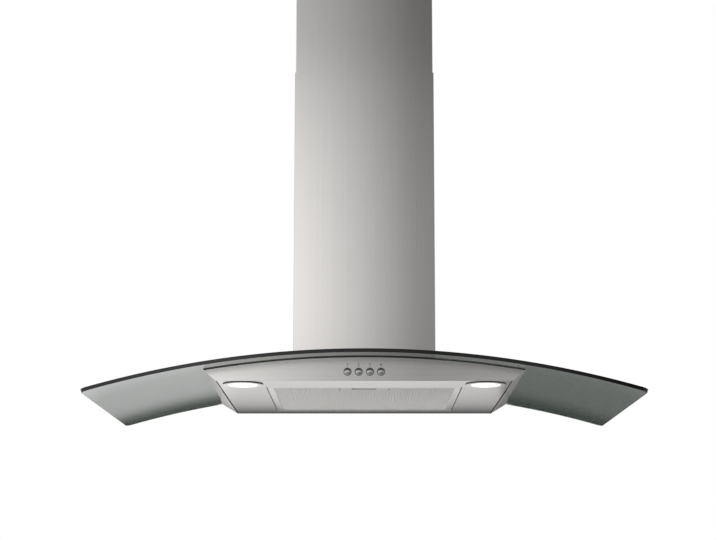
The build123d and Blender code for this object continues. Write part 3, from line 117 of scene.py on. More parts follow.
# Light of the room by direction: across from left to right, upwards from straight down to up.
ROOM_ACROSS = [(0.0, 0.85), (0.30, 1.0), (0.44, 1.0), (0.56, 0.14), (0.68, 0.16), (0.88, 0.45),
               (1.0, 0.5)]
ROOM_UPWARDS = [(0.0, 0.75), (0.40, 1.0), (0.58, 1.0), (0.70, 0.72), (0.85, 0.7), (1.0, 0.9)]
world = bpy.data.worlds.new("studio")
bpy.context.scene.world = world
world.use_nodes = True
tree = world.node_tree
background = tree.nodes["Background"]
place = tree.nodes.new("ShaderNodeTexCoord")
parts = tree.nodes.new("ShaderNodeSeparateXYZ")
link(tree, place.outputs["Generated"], parts.inputs[0])
room = math_node(tree, "MULTIPLY", stepped(tree, halved(tree, parts.outputs["X"]), ROOM_ACROSS),
                 stepped(tree, halved(tree, parts.outputs["Z"]), ROOM_UPWARDS))
# Plain white for the camera and through glass, and the room for all else.
rays = tree.nodes.new("ShaderNodeLightPath")
seen = math_node(tree, "MAXIMUM", rays.outputs["Is Camera Ray"],
                 rays.outputs["Is Transmission Ray"])
level = tree.nodes.new("ShaderNodeMix")
level.data_type = "FLOAT"
link(tree, seen, level.inputs["Factor"])
link(tree, room, level.inputs["A"])
level.inputs["B"].default_value = 1.0
background.inputs["Color"].default_value = (1, 1, 1, 1)
link(tree, level.outputs["Result"], background.inputs["Strength"])

FLOOR_Z = -1.55
FLOOR_RADIUS = 4.0
FLOOR_FADE = (1.6, 3.6)             # radii between which the floor turns into the white beyond it
FLOOR_SIDES = 96
FLOOR_COLOR = (0.88, 0.88, 0.87)
FLOOR_ROUGHNESS = 0.7
RIM_GLOW = 0.5                      # of the white rim, for all but the camera


def paint_floor():
    """Pale matt floor that keeps the shadow near its middle and is plain white at its rim. From
    below it can be seen through."""
    paint = bpy.data.materials.new("floor_paint")
    paint.use_nodes = True
    tree = paint.node_tree
    matt = tree.nodes["Principled BSDF"]
    matt.inputs["Base Color"].default_value = (*FLOOR_COLOR, 1)
    matt.inputs["Roughness"].default_value = FLOOR_ROUGHNESS
    place = tree.nodes.new("ShaderNodeTexCoord")
    length = tree.nodes.new("ShaderNodeVectorMath")
    length.operation = "LENGTH"
    link(tree, place.outputs["Object"], length.inputs[0])
    fade = tree.nodes.new("ShaderNodeMapRange")
    fade.interpolation_type = "SMOOTHSTEP"
    fade.inputs["From Min"].default_value, fade.inputs["From Max"].default_value = FLOOR_FADE
    link(tree, length.outputs["Value"], fade.inputs["Value"])
    rays = tree.nodes.new("ShaderNodeLightPath")
    white = tree.nodes.new("ShaderNodeEmission")
    strength = math_node(tree, "MULTIPLY_ADD", rays.outputs["Is Camera Ray"], 1 - RIM_GLOW,
                         RIM_GLOW)
    link(tree, strength, white.inputs["Strength"])
    mix = tree.nodes.new("ShaderNodeMixShader")
    link(tree, fade.outputs["Result"], mix.inputs["Fac"])
    link(tree, matt.outputs[0], mix.inputs[1])
    link(tree, white.outputs[0], mix.inputs[2])
    below = tree.nodes.new("ShaderNodeNewGeometry").outputs["Backfacing"]
    seen_through = tree.nodes.new("ShaderNodeMixShader")
    link(tree, below, seen_through.inputs["Fac"])
    link(tree, mix.outputs[0], seen_through.inputs[1])
    link(tree, tree.nodes.new("ShaderNodeBsdfTransparent").outputs[0], seen_through.inputs[2])
    link(tree, seen_through.outputs[0], tree.nodes["Material Output"].inputs["Surface"])
    return paint


def ring_points(centre, radius, sides, start=0.0, turn=2 * math.pi):
    """Points on a circle, or on an arc with a point at each end."""
    steps = sides if turn >= 2 * math.pi else sides - 1
    return [(centre[0] + radius * math.cos(start + turn * i / steps),
             centre[1] + radius * math.sin(start + turn * i / steps)) for i in range(sides)]


floor_mesh = bpy.data.meshes.new("floor")
floor_mesh.from_pydata([(x, y, 0) for x, y in ring_points((0, 0), FLOOR_RADIUS, FLOOR_SIDES)],
                       [], [tuple(range(FLOOR_SIDES))])
floor_mesh.materials.append(paint_floor())
floor = put("floor", floor_mesh)
floor.location = (0, 0, FLOOR_Z)


def softbox(name, spot, aim, size, watts, color=(1, 1, 1), glossy=False, height=None):
    """A soft lamp that looks at a point, square unless it has a height of its own. Shining
    surfaces see it only where glossy is set."""
    data = bpy.data.lights.new(name, "AREA")
    data.shape = "RECTANGLE"
    data.size, data.size_y = size, height or size
    data.energy = watts
    data.color = color
    lamp = put(name, data)
    lamp.location = spot
    lamp.rotation_euler = (Vector(aim) - Vector(spot)).to_track_quat("-Z", "Y").to_euler()
    lamp.visible_glossy = glossy


def glow_card(name, half_width, y, heights, across, upwards, fade, arc=None):
    """An upright card that only shining surfaces see. Its light is the product of two runs of
    stops: across gives it at 0.5 + x / 2, and upwards at 0.5 + z / 2, in metres. It fades out
    between the two distances of fade from the middle. Between the first two distances of arc, the
    heights follow the bend of the glass, with its radius and its rise over the card's zero."""
    paint = bpy.data.materials.new(name)
    paint.use_nodes = True
    tree = paint.node_tree
    tree.nodes.remove(tree.nodes["Principled BSDF"])
    place = tree.nodes.new("ShaderNodeTexCoord")
    parts = tree.nodes.new("ShaderNodeSeparateXYZ")
    link(tree, place.outputs["Object"], parts.inputs[0])
    wide = math_node(tree, "ABSOLUTE", parts.outputs["X"])
    height = parts.outputs["Z"]
    if arc:
        start, end, radius, rise = arc
        near = math_node(tree, "MINIMUM", wide, end)
        drop = math_node(tree, "DIVIDE", math_node(tree, "MULTIPLY", near, near), 2 * radius)
        drop = math_node(tree, "SUBTRACT", drop, rise)
        outside = math_node(tree, "GREATER_THAN", wide, start)
        height = math_node(tree, "ADD", height, math_node(tree, "MULTIPLY", drop, outside))
    levels = []
    for source, stops in ((parts.outputs["X"], across), (height, upwards)):
        levels.append(stepped(tree, halved(tree, source), stops))
    light = tree.nodes.new("ShaderNodeEmission")
    link(tree, math_node(tree, "MULTIPLY", *levels), light.inputs["Strength"])
    side = tree.nodes.new("ShaderNodeMapRange")
    side.inputs["From Min"].default_value, side.inputs["From Max"].default_value = fade
    link(tree, wide, side.inputs["Value"])
    rays = tree.nodes.new("ShaderNodeLightPath")
    clear = math_node(tree, "MAXIMUM", side.outputs["Result"], rays.outputs["Is Transmission Ray"])
    mix = tree.nodes.new("ShaderNodeMixShader")
    link(tree, clear, mix.inputs["Fac"])
    link(tree, light.outputs[0], mix.inputs[1])
    link(tree, tree.nodes.new("ShaderNodeBsdfTransparent").outputs[0], mix.inputs[2])
    link(tree, mix.outputs[0], tree.nodes["Material Output"].inputs["Surface"])
    low, high = heights
    mesh = bpy.data.meshes.new(name)
    mesh.from_pydata([(-half_width, y, low), (half_width, y, low), (half_width, y, high),
                      (-half_width, y, high)], [], [(0, 1, 2, 3)])
    mesh.materials.append(paint)
    card = put(name, mesh)
    for kind in ("camera", "diffuse", "transmission", "shadow", "volume_scatter"):
        setattr(card, f"visible_{kind}", False)


CARD_Y = -0.55                      # in front of the hood
SHADE_CARD_Y = -0.552
WALL_Y = 0.03
FASCIA_LOW, FASCIA_HIGH = -0.03, 0.075
WALL_ARC = (0.264, 0.46, 1.6, 0.036)    # from and to in x, the bend's radius, its rise
# The wall behind the hood, with the hood's shadow painted on it: darkest right under the body and
# the glass.
glow_card("wall_card", half_width=0.62, y=WALL_Y, heights=(-0.7, 0.01),
          across=[(0.0, 0.70), (0.345, 0.85), (0.365, 0.84), (0.38, 0.75), (0.50, 0.73),
                  (0.629, 0.66), (0.633, 0.2), (0.75, 0.19), (1.0, 0.2)],
          upwards=[(0.0, 0.8), (0.40, 1.1), (0.450, 1.5), (0.464, 1.03), (0.476, 0.93),
                   (0.4825, 0.88), (0.487, 0.68), (0.492, 0.28), (0.495, 0.09), (0.501, 0.04),
                   (0.504, 0.6)],
          fade=(0.5, 0.62), arc=WALL_ARC)
# Graded cards before the chimney and the fascia, and what the buttons see below them: a card of
# painted shade, darker to the right.
glow_card("chimney_card", half_width=0.45, y=CARD_Y, heights=(FASCIA_HIGH, 1.2),
          across=[(0.37, 1.25), (0.43, 1.13), (0.50, 0.67), (0.555, 0.28), (0.62, 0.3)],
          upwards=[(0.555, 0.96), (0.58, 1.03), (0.62, 1.03), (0.68, 1.0), (0.76, 0.89),
                   (0.83, 0.73), (0.88, 0.56), (1.0, 0.47)],
          fade=(0.27, 0.44))
glow_card("fascia_card", half_width=0.45, y=CARD_Y, heights=(FASCIA_LOW, FASCIA_HIGH),
          across=[(0.37, 1.28), (0.436, 0.90), (0.47, 0.73), (0.50, 0.60), (0.553, 0.44),
                  (0.61, 0.51), (0.64, 0.54)],
          upwards=[(0.48, 1.0), (0.54, 1.0)],
          fade=(0.27, 0.44))
glow_card("shade_card", half_width=0.3, y=SHADE_CARD_Y, heights=(-0.25, -0.032),
          across=[(0.36, 0.5), (0.47, 0.3), (0.51, 0.04), (0.64, 0.03)],
          upwards=[(0.3, 1.0), (0.5, 1.0)],
          fade=(0.2, 0.3))

softbox("key", spot=(-1.5, -2.3, 0.1), aim=(0.0, -0.25, 0.2), size=1.1, watts=26,
        color=(1.0, 0.985, 0.97))
softbox("fill", spot=(2.2, -2.4, 1.6), aim=(0.1, -0.2, 0.2), size=1.6, watts=8)
softbox("low", spot=(0.0, -2.3, -0.75), aim=(0.0, -0.25, 0.0), size=3.2, height=1.2, watts=10,
        glossy=True)
softbox("back", spot=(0.6, 2.4, 1.6), aim=(0.0, -0.2, 0.3), size=1.8, watts=18)
softbox("spark", spot=(-0.8, -1.7, 0.75), aim=(0.0, -0.45, 0.03), size=0.3, watts=1.2, glossy=True)

# ---- Chimney covers
# Two folded stainless sleeves, the upper one inside the lower. Their fine grain runs upwards, as
# the sheet is cut from a brushed coil.
MM = 0.001
UPRIGHT_GRAIN = (1700, 1700, 1.6)   # lines in a metre along x, y and z
FINE_SHARE = 0.65                   # of the fine lines in the tone, beside the broad streaks
ROUGHNESS_SPREAD = 0.04
GRAIN_DEPTH = 0.2 * MM


def start_material(name, color, **sockets):
    """A material with its Principled shader, whose constant values stand on its own sockets."""
    made = bpy.data.materials.new(name)
    made.use_nodes = True
    shader = made.node_tree.nodes["Principled BSDF"]
    shader.inputs["Base Color"].default_value = (*color, 1)
    for socket, value in sockets.items():
        shader.inputs[socket.replace("_", " ")].default_value = value
    return made, made.node_tree, shader


def dress(material, *names):
    """Gives the material to every slot of these CAD nodes."""
    for name in names:
        slots = nodes[name].data.materials
        for i in range(len(slots)):
            slots[i] = material


def grain_group():
    """Brushed grain: fine lines and broad streaks, stretched by the value given for each axis."""
    group = bpy.data.node_groups.new("brushed_grain", "ShaderNodeTree")
    for name, value in (("Lines X", 900.0), ("Lines Y", 900.0), ("Lines Z", 6.0)):
        socket = group.interface.new_socket(name, in_out="INPUT", socket_type="NodeSocketFloat")
        socket.default_value = value
    for name in ("Fine", "Broad"):
        group.interface.new_socket(name, in_out="OUTPUT", socket_type="NodeSocketFloat")
    given, out = group.nodes.new("NodeGroupInput"), group.nodes.new("NodeGroupOutput")
    place = group.nodes.new("ShaderNodeTexCoord")
    scale = group.nodes.new("ShaderNodeCombineXYZ")
    for i, axis in enumerate("XYZ"):
        link(group, given.outputs[f"Lines {axis}"], scale.inputs[i])
    for name, share, detail in (("Fine", 1.0, 3.0), ("Broad", 0.09, 4.0)):
        stretched = group.nodes.new("ShaderNodeVectorMath")
        stretched.operation = "MULTIPLY"
        link(group, place.outputs["Object"], stretched.inputs[0])
        link(group, scale.outputs[0], stretched.inputs[1])
        noise = group.nodes.new("ShaderNodeTexNoise")
        noise.inputs["Scale"].default_value = share
        noise.inputs["Detail"].default_value = detail
        link(group, stretched.outputs[0], noise.inputs["Vector"])
        link(group, noise.outputs["Fac"], out.inputs[name])
    return group


brushed_grain = grain_group()


def ranged(tree, source, low, high):
    """The source's 0.25 to 0.75 turned into low to high."""
    node = tree.nodes.new("ShaderNodeMapRange")
    node.inputs["From Min"].default_value = 0.25
    node.inputs["From Max"].default_value = 0.75
    node.inputs["To Min"].default_value = low
    node.inputs["To Max"].default_value = high
    link(tree, source, node.inputs["Value"])
    return node.outputs["Result"]


def tinted(tree, factor, dark, light):
    """A colour between dark and light."""
    node = tree.nodes.new("ShaderNodeMix")
    node.data_type = "RGBA"
    for key, value in (("A", dark), ("B", light)):
        if isinstance(value, tuple):
            node.inputs[key].default_value = (*value, 1)
        else:
            link(tree, value, node.inputs[key])
    link(tree, factor, node.inputs["Factor"])
    return node.outputs["Result"]


def bumped(tree, shader, height, strength, distance, edge=0.0):
    """A Bump node in front of the shader; with an edge, sharp corners look that much rounded."""
    node = tree.nodes.new("ShaderNodeBump")
    node.inputs["Strength"].default_value = strength
    node.inputs["Distance"].default_value = distance
    link(tree, height, node.inputs["Height"])
    if edge:
        rounded = tree.nodes.new("ShaderNodeBevel")
        rounded.samples = 4
        rounded.inputs["Radius"].default_value = edge
        link(tree, rounded.outputs["Normal"], node.inputs["Normal"])
    link(tree, node.outputs["Normal"], shader.inputs["Normal"])


def brushed(name, dark, light, roughness, lines, bump=0.12, edge=0.5 * MM):
    """Brushed sheet metal, with its grain along the axis that has the fewest lines."""
    made, tree, shader = start_material(name, light, Metallic=1.0)
    grain = tree.nodes.new("ShaderNodeGroup")
    grain.node_tree = brushed_grain
    for axis, count in zip("XYZ", lines):
        grain.inputs[f"Lines {axis}"].default_value = count
    fine = math_node(tree, "MULTIPLY", grain.outputs["Fine"], FINE_SHARE)
    streaks = math_node(tree, "MULTIPLY_ADD", grain.outputs["Broad"], 1 - FINE_SHARE, fine)
    link(tree, tinted(tree, ranged(tree, streaks, 0.0, 1.0), dark, light),
         shader.inputs["Base Color"])
    rough = ranged(tree, grain.outputs["Fine"], roughness - ROUGHNESS_SPREAD,
                   roughness + ROUGHNESS_SPREAD)
    link(tree, rough, shader.inputs["Roughness"])
    bumped(tree, shader, grain.outputs["Fine"], bump, GRAIN_DEPTH, edge)
    return made


chimney_steel = brushed("chimney_steel", dark=(0.685, 0.665, 0.65), light=(0.735, 0.715, 0.70),
                        roughness=0.24, lines=UPRIGHT_GRAIN, bump=0.05)
dress(chimney_steel, "chimney_lower", "chimney_upper")

# ---- Body and underside
# A folded stainless box under the glass, closed from below by a flat stainless panel. The grain
# runs along the hood. The slanted sides mirror less clearly than the fascia.
SIDEWAYS_GRAIN = (1.6, 1700, 1700)
SLANT_FACING = (0.3, 0.5)           # sideways part of a face's normal, where a side begins
SLANT_ROUGHER = 0.3                 # what a slanted side adds to the roughness
body_steel = brushed("body_steel", dark=(0.585, 0.567, 0.555), light=(0.64, 0.623, 0.61),
                     roughness=0.26, lines=SIDEWAYS_GRAIN, bump=0.05, edge=0.25 * MM)
tree = body_steel.node_tree
place = tree.nodes.new("ShaderNodeTexCoord")
facing = tree.nodes.new("ShaderNodeSeparateXYZ")
link(tree, place.outputs["Normal"], facing.inputs[0])
slanted = tree.nodes.new("ShaderNodeMapRange")
slanted.inputs["From Min"].default_value, slanted.inputs["From Max"].default_value = SLANT_FACING
slanted.inputs["To Max"].default_value = SLANT_ROUGHER
link(tree, math_node(tree, "ABSOLUTE", facing.outputs["X"]), slanted.inputs["Value"])
rough = tree.nodes["Principled BSDF"].inputs["Roughness"]
link(tree, math_node(tree, "ADD", slanted.outputs["Result"], rough.links[0].from_socket), rough)
dress(body_steel, "body_shell")
underside_steel = brushed("underside_steel", dark=(0.60, 0.582, 0.57), light=(0.65, 0.633, 0.62),
                          roughness=0.24, lines=SIDEWAYS_GRAIN, bump=0.05, edge=0.3 * MM)
dress(underside_steel, "underside_panel")

# ---- Inner sheet
# The body's top, the liner and neck of the air way, the tray, the blower's box, the brackets and
# the lamp cans are cut and folded from zinc-coated steel, which shows its faint flakes.
ZINC_FLAKES = 140                   # in a metre


def zinc_material():
    """Zinc sheet, whose flakes differ in tone and in gloss."""
    made, tree, shader = start_material("zinc_sheet", (0.6, 0.61, 0.62), Metallic=1.0)
    place = tree.nodes.new("ShaderNodeTexCoord")
    flakes = tree.nodes.new("ShaderNodeTexVoronoi")
    flakes.inputs["Scale"].default_value = ZINC_FLAKES
    link(tree, place.outputs["Object"], flakes.inputs["Vector"])
    apart = tree.nodes.new("ShaderNodeSeparateColor")
    link(tree, flakes.outputs["Color"], apart.inputs["Color"])
    tone = tinted(tree, apart.outputs["Red"], (0.47, 0.48, 0.49), (0.66, 0.67, 0.68))
    link(tree, tone, shader.inputs["Base Color"])
    link(tree, ranged(tree, apart.outputs["Green"], 0.36, 0.5), shader.inputs["Roughness"])
    bumped(tree, shader, flakes.outputs["Distance"], strength=0.05, distance=0.5 * MM,
           edge=0.4 * MM)
    return made


dress(zinc_material(), "body_top", "plenum_liner", "air_neck", "chassis_tray", "blower_box",
      "blower_cover", "blower_lid", "motor_spider", "switch_bracket", "hinge_ears",
      "upper_bracket", "lamp_cans")

# ---- Glass canopy
# One sheet of smoked grey-green glass, bent to an arc, with a hole for the air neck and four for
# the bolts. Its ground and polished edge is near black, because it is looked through lengthwise.
GLASS_THICK = 6 * MM
BEND_RADIUS = 1600 * MM             # of the upper face
GLASS_CORNER = 12 * MM
GLASS_CORNER_POINTS = 9
GLASS_SLACK = 0.03 * MM             # keeps the ground edge inside the size of the solid
GLASS_EDGE_ROUND = 0.9 * MM
GLASS_EDGE_STEPS = 3
GLASS_EDGE_FROM = 50                # degrees between faces, from which an edge is rounded
GLASS_SHARP = 8                     # degrees from which its edges are shaded sharp
GLASS_STRIP = 15 * MM               # width of the strips that the bend is divided into
CUT_TOLERANCE = 0.01 * MM
NECK_FLANGE = 10 * MM               # of the air neck, under the glass round its hole
WASHER_RADIUS = 9 * MM
BOLT_HOLE_RADIUS = 5 * MM
HOLE_SIDES = 24
GLASS_TINT = (0.088, 0.108, 0.092)
GLASS_EDGE_TINT = (0.0015, 0.003, 0.002)
FACE_UPRIGHT = (0.55, 0.9)          # upward part of the normal, from the edge to the faces
SMEARS = 14                         # in a metre
SMEAR_ROUGHNESS = 0.006


def add_object(name, mesh, material, body, replaced=()):
    """A new piece with one material, that rides on a body and hides the CAD nodes it stands for."""
    mesh.name = name
    mesh.materials.clear()
    mesh.materials.append(material)
    piece = put(name, mesh)
    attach(piece, body)
    if replaced:
        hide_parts(*replaced)


def shade(mesh, angle=35):
    """Smooth shading with sharp edges past the angle, in degrees."""
    mesh.shade_smooth()
    mesh.set_sharp_from_angle(angle=math.radians(angle))
    return mesh


def plain_mesh(holder):
    """The mesh that an object shows, with its modifiers worked in. The object itself goes."""
    bpy.context.view_layer.update()
    shown = holder.evaluated_get(bpy.context.evaluated_depsgraph_get())
    done = bpy.data.meshes.new_from_object(shown)
    bpy.data.objects.remove(holder)
    return done


def bent_glass():
    """The flat outline with its holes, cut into strips, bent, thickened and rounded."""
    low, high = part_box("glass_canopy")
    left, right, crest = low.x, high.x, high.z
    rear, front = high.y - GLASS_SLACK, low.y + GLASS_SLACK
    inset = GLASS_CORNER
    corners = [((right - inset, rear - inset), 0.0), ((left + inset, rear - inset), 0.5),
               ((left + inset, front + inset), 1.0), ((right - inset, front + inset), 1.5)]
    outline = []
    for centre, start in corners:
        outline += ring_points(centre, inset, GLASS_CORNER_POINTS, start * math.pi, math.pi / 2)
    low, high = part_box("air_neck")
    x0, x1 = low.x + NECK_FLANGE, high.x - NECK_FLANGE
    y0, y1 = low.y + NECK_FLANGE, high.y - NECK_FLANGE
    loops = [outline, [(x0, y0), (x1, y0), (x1, y1), (x0, y1)]]
    low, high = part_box("glass_washers")
    for x in (low.x + WASHER_RADIUS, high.x - WASHER_RADIUS):
        for y in (low.y + WASHER_RADIUS, high.y - WASHER_RADIUS):
            loops.append(ring_points((x, y), BOLT_HOLE_RADIUS, HOLE_SIDES))
    bm = bmesh.new()
    edges = []
    for loop in loops:
        points = [bm.verts.new((x, y, 0)) for x, y in loop]
        edges += [bm.edges.new((points[i - 1], points[i])) for i in range(len(points))]
    bmesh.ops.triangle_fill(bm, use_beauty=True, use_dissolve=False, edges=edges)
    for i in range(1, round((right - left) / GLASS_STRIP)):
        bmesh.ops.bisect_plane(bm, geom=bm.verts[:] + bm.edges[:] + bm.faces[:],
                               plane_co=(left + i * GLASS_STRIP, 0, 0), plane_no=(1, 0, 0),
                               dist=CUT_TOLERANCE)
    for vert in bm.verts:
        vert.co.z = crest - BEND_RADIUS + math.sqrt(BEND_RADIUS**2 - vert.co.x**2)
    bmesh.ops.recalc_face_normals(bm, faces=bm.faces)
    if sum(face.normal.z for face in bm.faces) < 0:
        bmesh.ops.reverse_faces(bm, faces=bm.faces)
    mesh = bpy.data.meshes.new("bent_glass")
    bm.to_mesh(mesh)
    bm.free()
    holder = put("bent_glass", mesh)
    wall = holder.modifiers.new("wall", "SOLIDIFY")
    wall.thickness, wall.offset, wall.use_even_offset = GLASS_THICK, -1.0, True
    ground = holder.modifiers.new("ground", "BEVEL")
    ground.width, ground.segments = GLASS_EDGE_ROUND, GLASS_EDGE_STEPS
    ground.limit_method, ground.angle_limit = "ANGLE", math.radians(GLASS_EDGE_FROM)
    return shade(plain_mesh(holder), GLASS_SHARP)


def object_noise(tree, scale, detail=2.0):
    """Soft random spots that keep their place on the piece."""
    place = tree.nodes.new("ShaderNodeTexCoord")
    noise = tree.nodes.new("ShaderNodeTexNoise")
    noise.inputs["Scale"].default_value = scale
    noise.inputs["Detail"].default_value = detail
    link(tree, place.outputs["Object"], noise.inputs["Vector"])
    return noise.outputs["Fac"]


def smoked_glass():
    """Smoked glass that is near black on its edge, where the face looks sideways."""
    made, tree, shader = start_material("smoked_glass", GLASS_TINT, Roughness=0.0, IOR=1.5,
                                        Transmission_Weight=1.0)
    place = tree.nodes.new("ShaderNodeTexCoord")
    facing = tree.nodes.new("ShaderNodeSeparateXYZ")
    link(tree, place.outputs["Normal"], facing.inputs[0])
    face = tree.nodes.new("ShaderNodeMapRange")
    face.inputs["From Min"].default_value, face.inputs["From Max"].default_value = FACE_UPRIGHT
    link(tree, math_node(tree, "ABSOLUTE", facing.outputs["Z"]), face.inputs["Value"])
    link(tree, tinted(tree, face.outputs["Result"], GLASS_EDGE_TINT, GLASS_TINT),
         shader.inputs["Base Color"])
    smears = object_noise(tree, SMEARS, 4.0)
    link(tree, ranged(tree, smears, 0.0, SMEAR_ROUGHNESS), shader.inputs["Roughness"])
    return made


add_object("canopy_glass", bent_glass(), smoked_glass(), "hood", ["glass_canopy"])


# ---- Rubber and plastic
# The gasket, washers and mounts are black rubber. The scroll, impeller, collar, flaps, latch and
# small boxes are moulded plastic, with the matt grain of their moulds. The lamp holders are
# ceramic, and the motor is enamelled.
CLOUDS = 24                         # changes of tone in a metre
PORE_DEPTH = 0.3 * MM
MOULD_EDGE = 0.5 * MM
CLOUD_ROUGHNESS = (-0.04, 0.06)     # what the clouds add to the roughness


def moulded(name, dark, light, roughness, grain=900.0, bump=0.1):
    """Moulded plastic or rubber with a fine spark-eroded grain and slight changes of tone."""
    made, tree, shader = start_material(name, light)
    clouds = object_noise(tree, CLOUDS)
    link(tree, tinted(tree, clouds, dark, light), shader.inputs["Base Color"])
    smoother, rougher = CLOUD_ROUGHNESS
    link(tree, ranged(tree, clouds, roughness + smoother, roughness + rougher),
         shader.inputs["Roughness"])
    bumped(tree, shader, object_noise(tree, grain), bump, PORE_DEPTH, MOULD_EDGE)
    return made


rubber = moulded("black_rubber", (0.018, 0.018, 0.019), (0.03, 0.03, 0.03), roughness=0.75)
black_plastic = moulded("black_plastic", (0.02, 0.02, 0.022), (0.034, 0.034, 0.036), roughness=0.5)
white_plastic = moulded("white_plastic", (0.66, 0.66, 0.64), (0.74, 0.74, 0.72), roughness=0.42,
                        bump=0.05)
grey_plastic = moulded("grey_plastic", (0.44, 0.435, 0.425), (0.52, 0.515, 0.5), roughness=0.42,
                       bump=0.05)
ceramic = moulded("lamp_ceramic", (0.68, 0.66, 0.62), (0.76, 0.74, 0.7), roughness=0.6)
enamel = moulded("motor_enamel", (0.05, 0.053, 0.058), (0.075, 0.08, 0.085), roughness=0.35,
                 grain=300)
dress(rubber, "glass_gasket", "glass_washers", "rubber_mounts")
dress(black_plastic, "scroll_left", "scroll_right", "impeller", "terminal_box", "terminal_cover",
      "cable_gland", "outlet_collar", "switch_block")
dress(white_plastic, "flap_front", "flap_rear", "capacitor", "lamp_transformer", "glide_pads",
      "filter_pivots")
dress(grey_plastic, "latch_housing", "latch_slide")
dress(ceramic, "lamp_holders")
dress(enamel, "motor")

# ---- Fasteners
# Bolts, nuts, screws, the motor's turned shaft and the latch's springs are bright plated steel.
# They are bought in and screwed, pressed or clipped in place.
COARSE_GRAIN = (300, 300, 300)
plated = brushed("plated_steel", dark=(0.5, 0.5, 0.49), light=(0.62, 0.62, 0.6), roughness=0.3,
                 lines=COARSE_GRAIN)
dress(plated, "glass_bolts", "glass_nuts", "chassis_screws", "spider_screws", "shaft_nut",
      "motor_shaft", "capacitor_nut", "upper_screws", "latch_springs")

# ---- Grease filter
# Expanded aluminium in front, a crimped core and a rear sheet, held in a frame that is folded from
# aluminium strip, with rounded bends and mitred corners.
EVEN_GRAIN = (900, 900, 900)
filter_metal = brushed("filter_aluminium", dark=(0.80, 0.79, 0.775), light=(0.88, 0.87, 0.855),
                       roughness=0.33, lines=EVEN_GRAIN, bump=0.04)
core_metal = brushed("filter_core", dark=(0.44, 0.435, 0.425), light=(0.56, 0.555, 0.545),
                     roughness=0.45, lines=COARSE_GRAIN, bump=0.05)
dress(core_metal, "mesh_rear", "filter_pack")
FRAME_LIP = 11.5 * MM
FRAME_ROUND = 2.4 * MM
FRAME_SHEET = 1.0 * MM
FRAME_SHARP = 12                    # degrees from which its edges are shaded sharp
ROUND_STEPS = 5


def solid_mesh(name, verts, faces, angle=35):
    """A closed mesh with its faces turned outwards and its shading set."""
    mesh = bpy.data.meshes.new(name)
    mesh.from_pydata(verts, [], faces)
    bm = bmesh.new()
    bm.from_mesh(mesh)
    bmesh.ops.recalc_face_normals(bm, faces=bm.faces)
    bm.to_mesh(mesh)
    bm.free()
    return shade(mesh, angle)


def folded_frame():
    """The frame's U-shaped section, run round its four sides with mitred corners."""
    low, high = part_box("filter_frame")
    middle = ((low.x + high.x) / 2, (low.y + high.y) / 2)
    half = ((high.x - low.x) / 2, (high.y - low.y) / 2)
    tall, sheet, lip, bend = high.z, FRAME_SHEET, FRAME_LIP, FRAME_ROUND
    angles = [math.pi / 2 * i / ROUND_STEPS for i in range(ROUND_STEPS + 1)]
    section = [(lip, 0.0)]
    section += [(bend - bend * math.sin(a), bend - bend * math.cos(a)) for a in angles]
    section += [(bend - bend * math.cos(a), tall - bend + bend * math.sin(a)) for a in angles]
    section += [(lip, tall), (lip, tall - sheet), (bend, tall - sheet), (sheet, tall - bend),
                (sheet, bend), (bend, sheet), (lip, sheet)]
    verts, faces, count = [], [], len(section)
    for sx, sy in ((-1, -1), (1, -1), (1, 1), (-1, 1)):
        verts += [(middle[0] + sx * (half[0] - inset), middle[1] + sy * (half[1] - inset), z)
                  for inset, z in section]
    for side in range(4):
        for i in range(count):
            j = (i + 1) % count
            faces.append((side * count + i, side * count + j, (side + 1) % 4 * count + j,
                          (side + 1) % 4 * count + i))
    return solid_mesh("folded_frame", verts, faces, FRAME_SHARP)


frame_metal = brushed("frame_aluminium", dark=(0.62, 0.61, 0.6), light=(0.69, 0.68, 0.67),
                      roughness=0.3, lines=EVEN_GRAIN, bump=0.04)
add_object("filter_frame_folded", folded_frame(), frame_metal, "filter", ["filter_frame"])

MESH_CELL_LONG = 10 * MM
MESH_CELL_SHORT = 6 * MM
MESH_STRAND = 1.1 * MM
MESH_SHEET = 0.7 * MM
LATCH_GAP = 0.2 * MM                # between the cut strands and the latch's plate


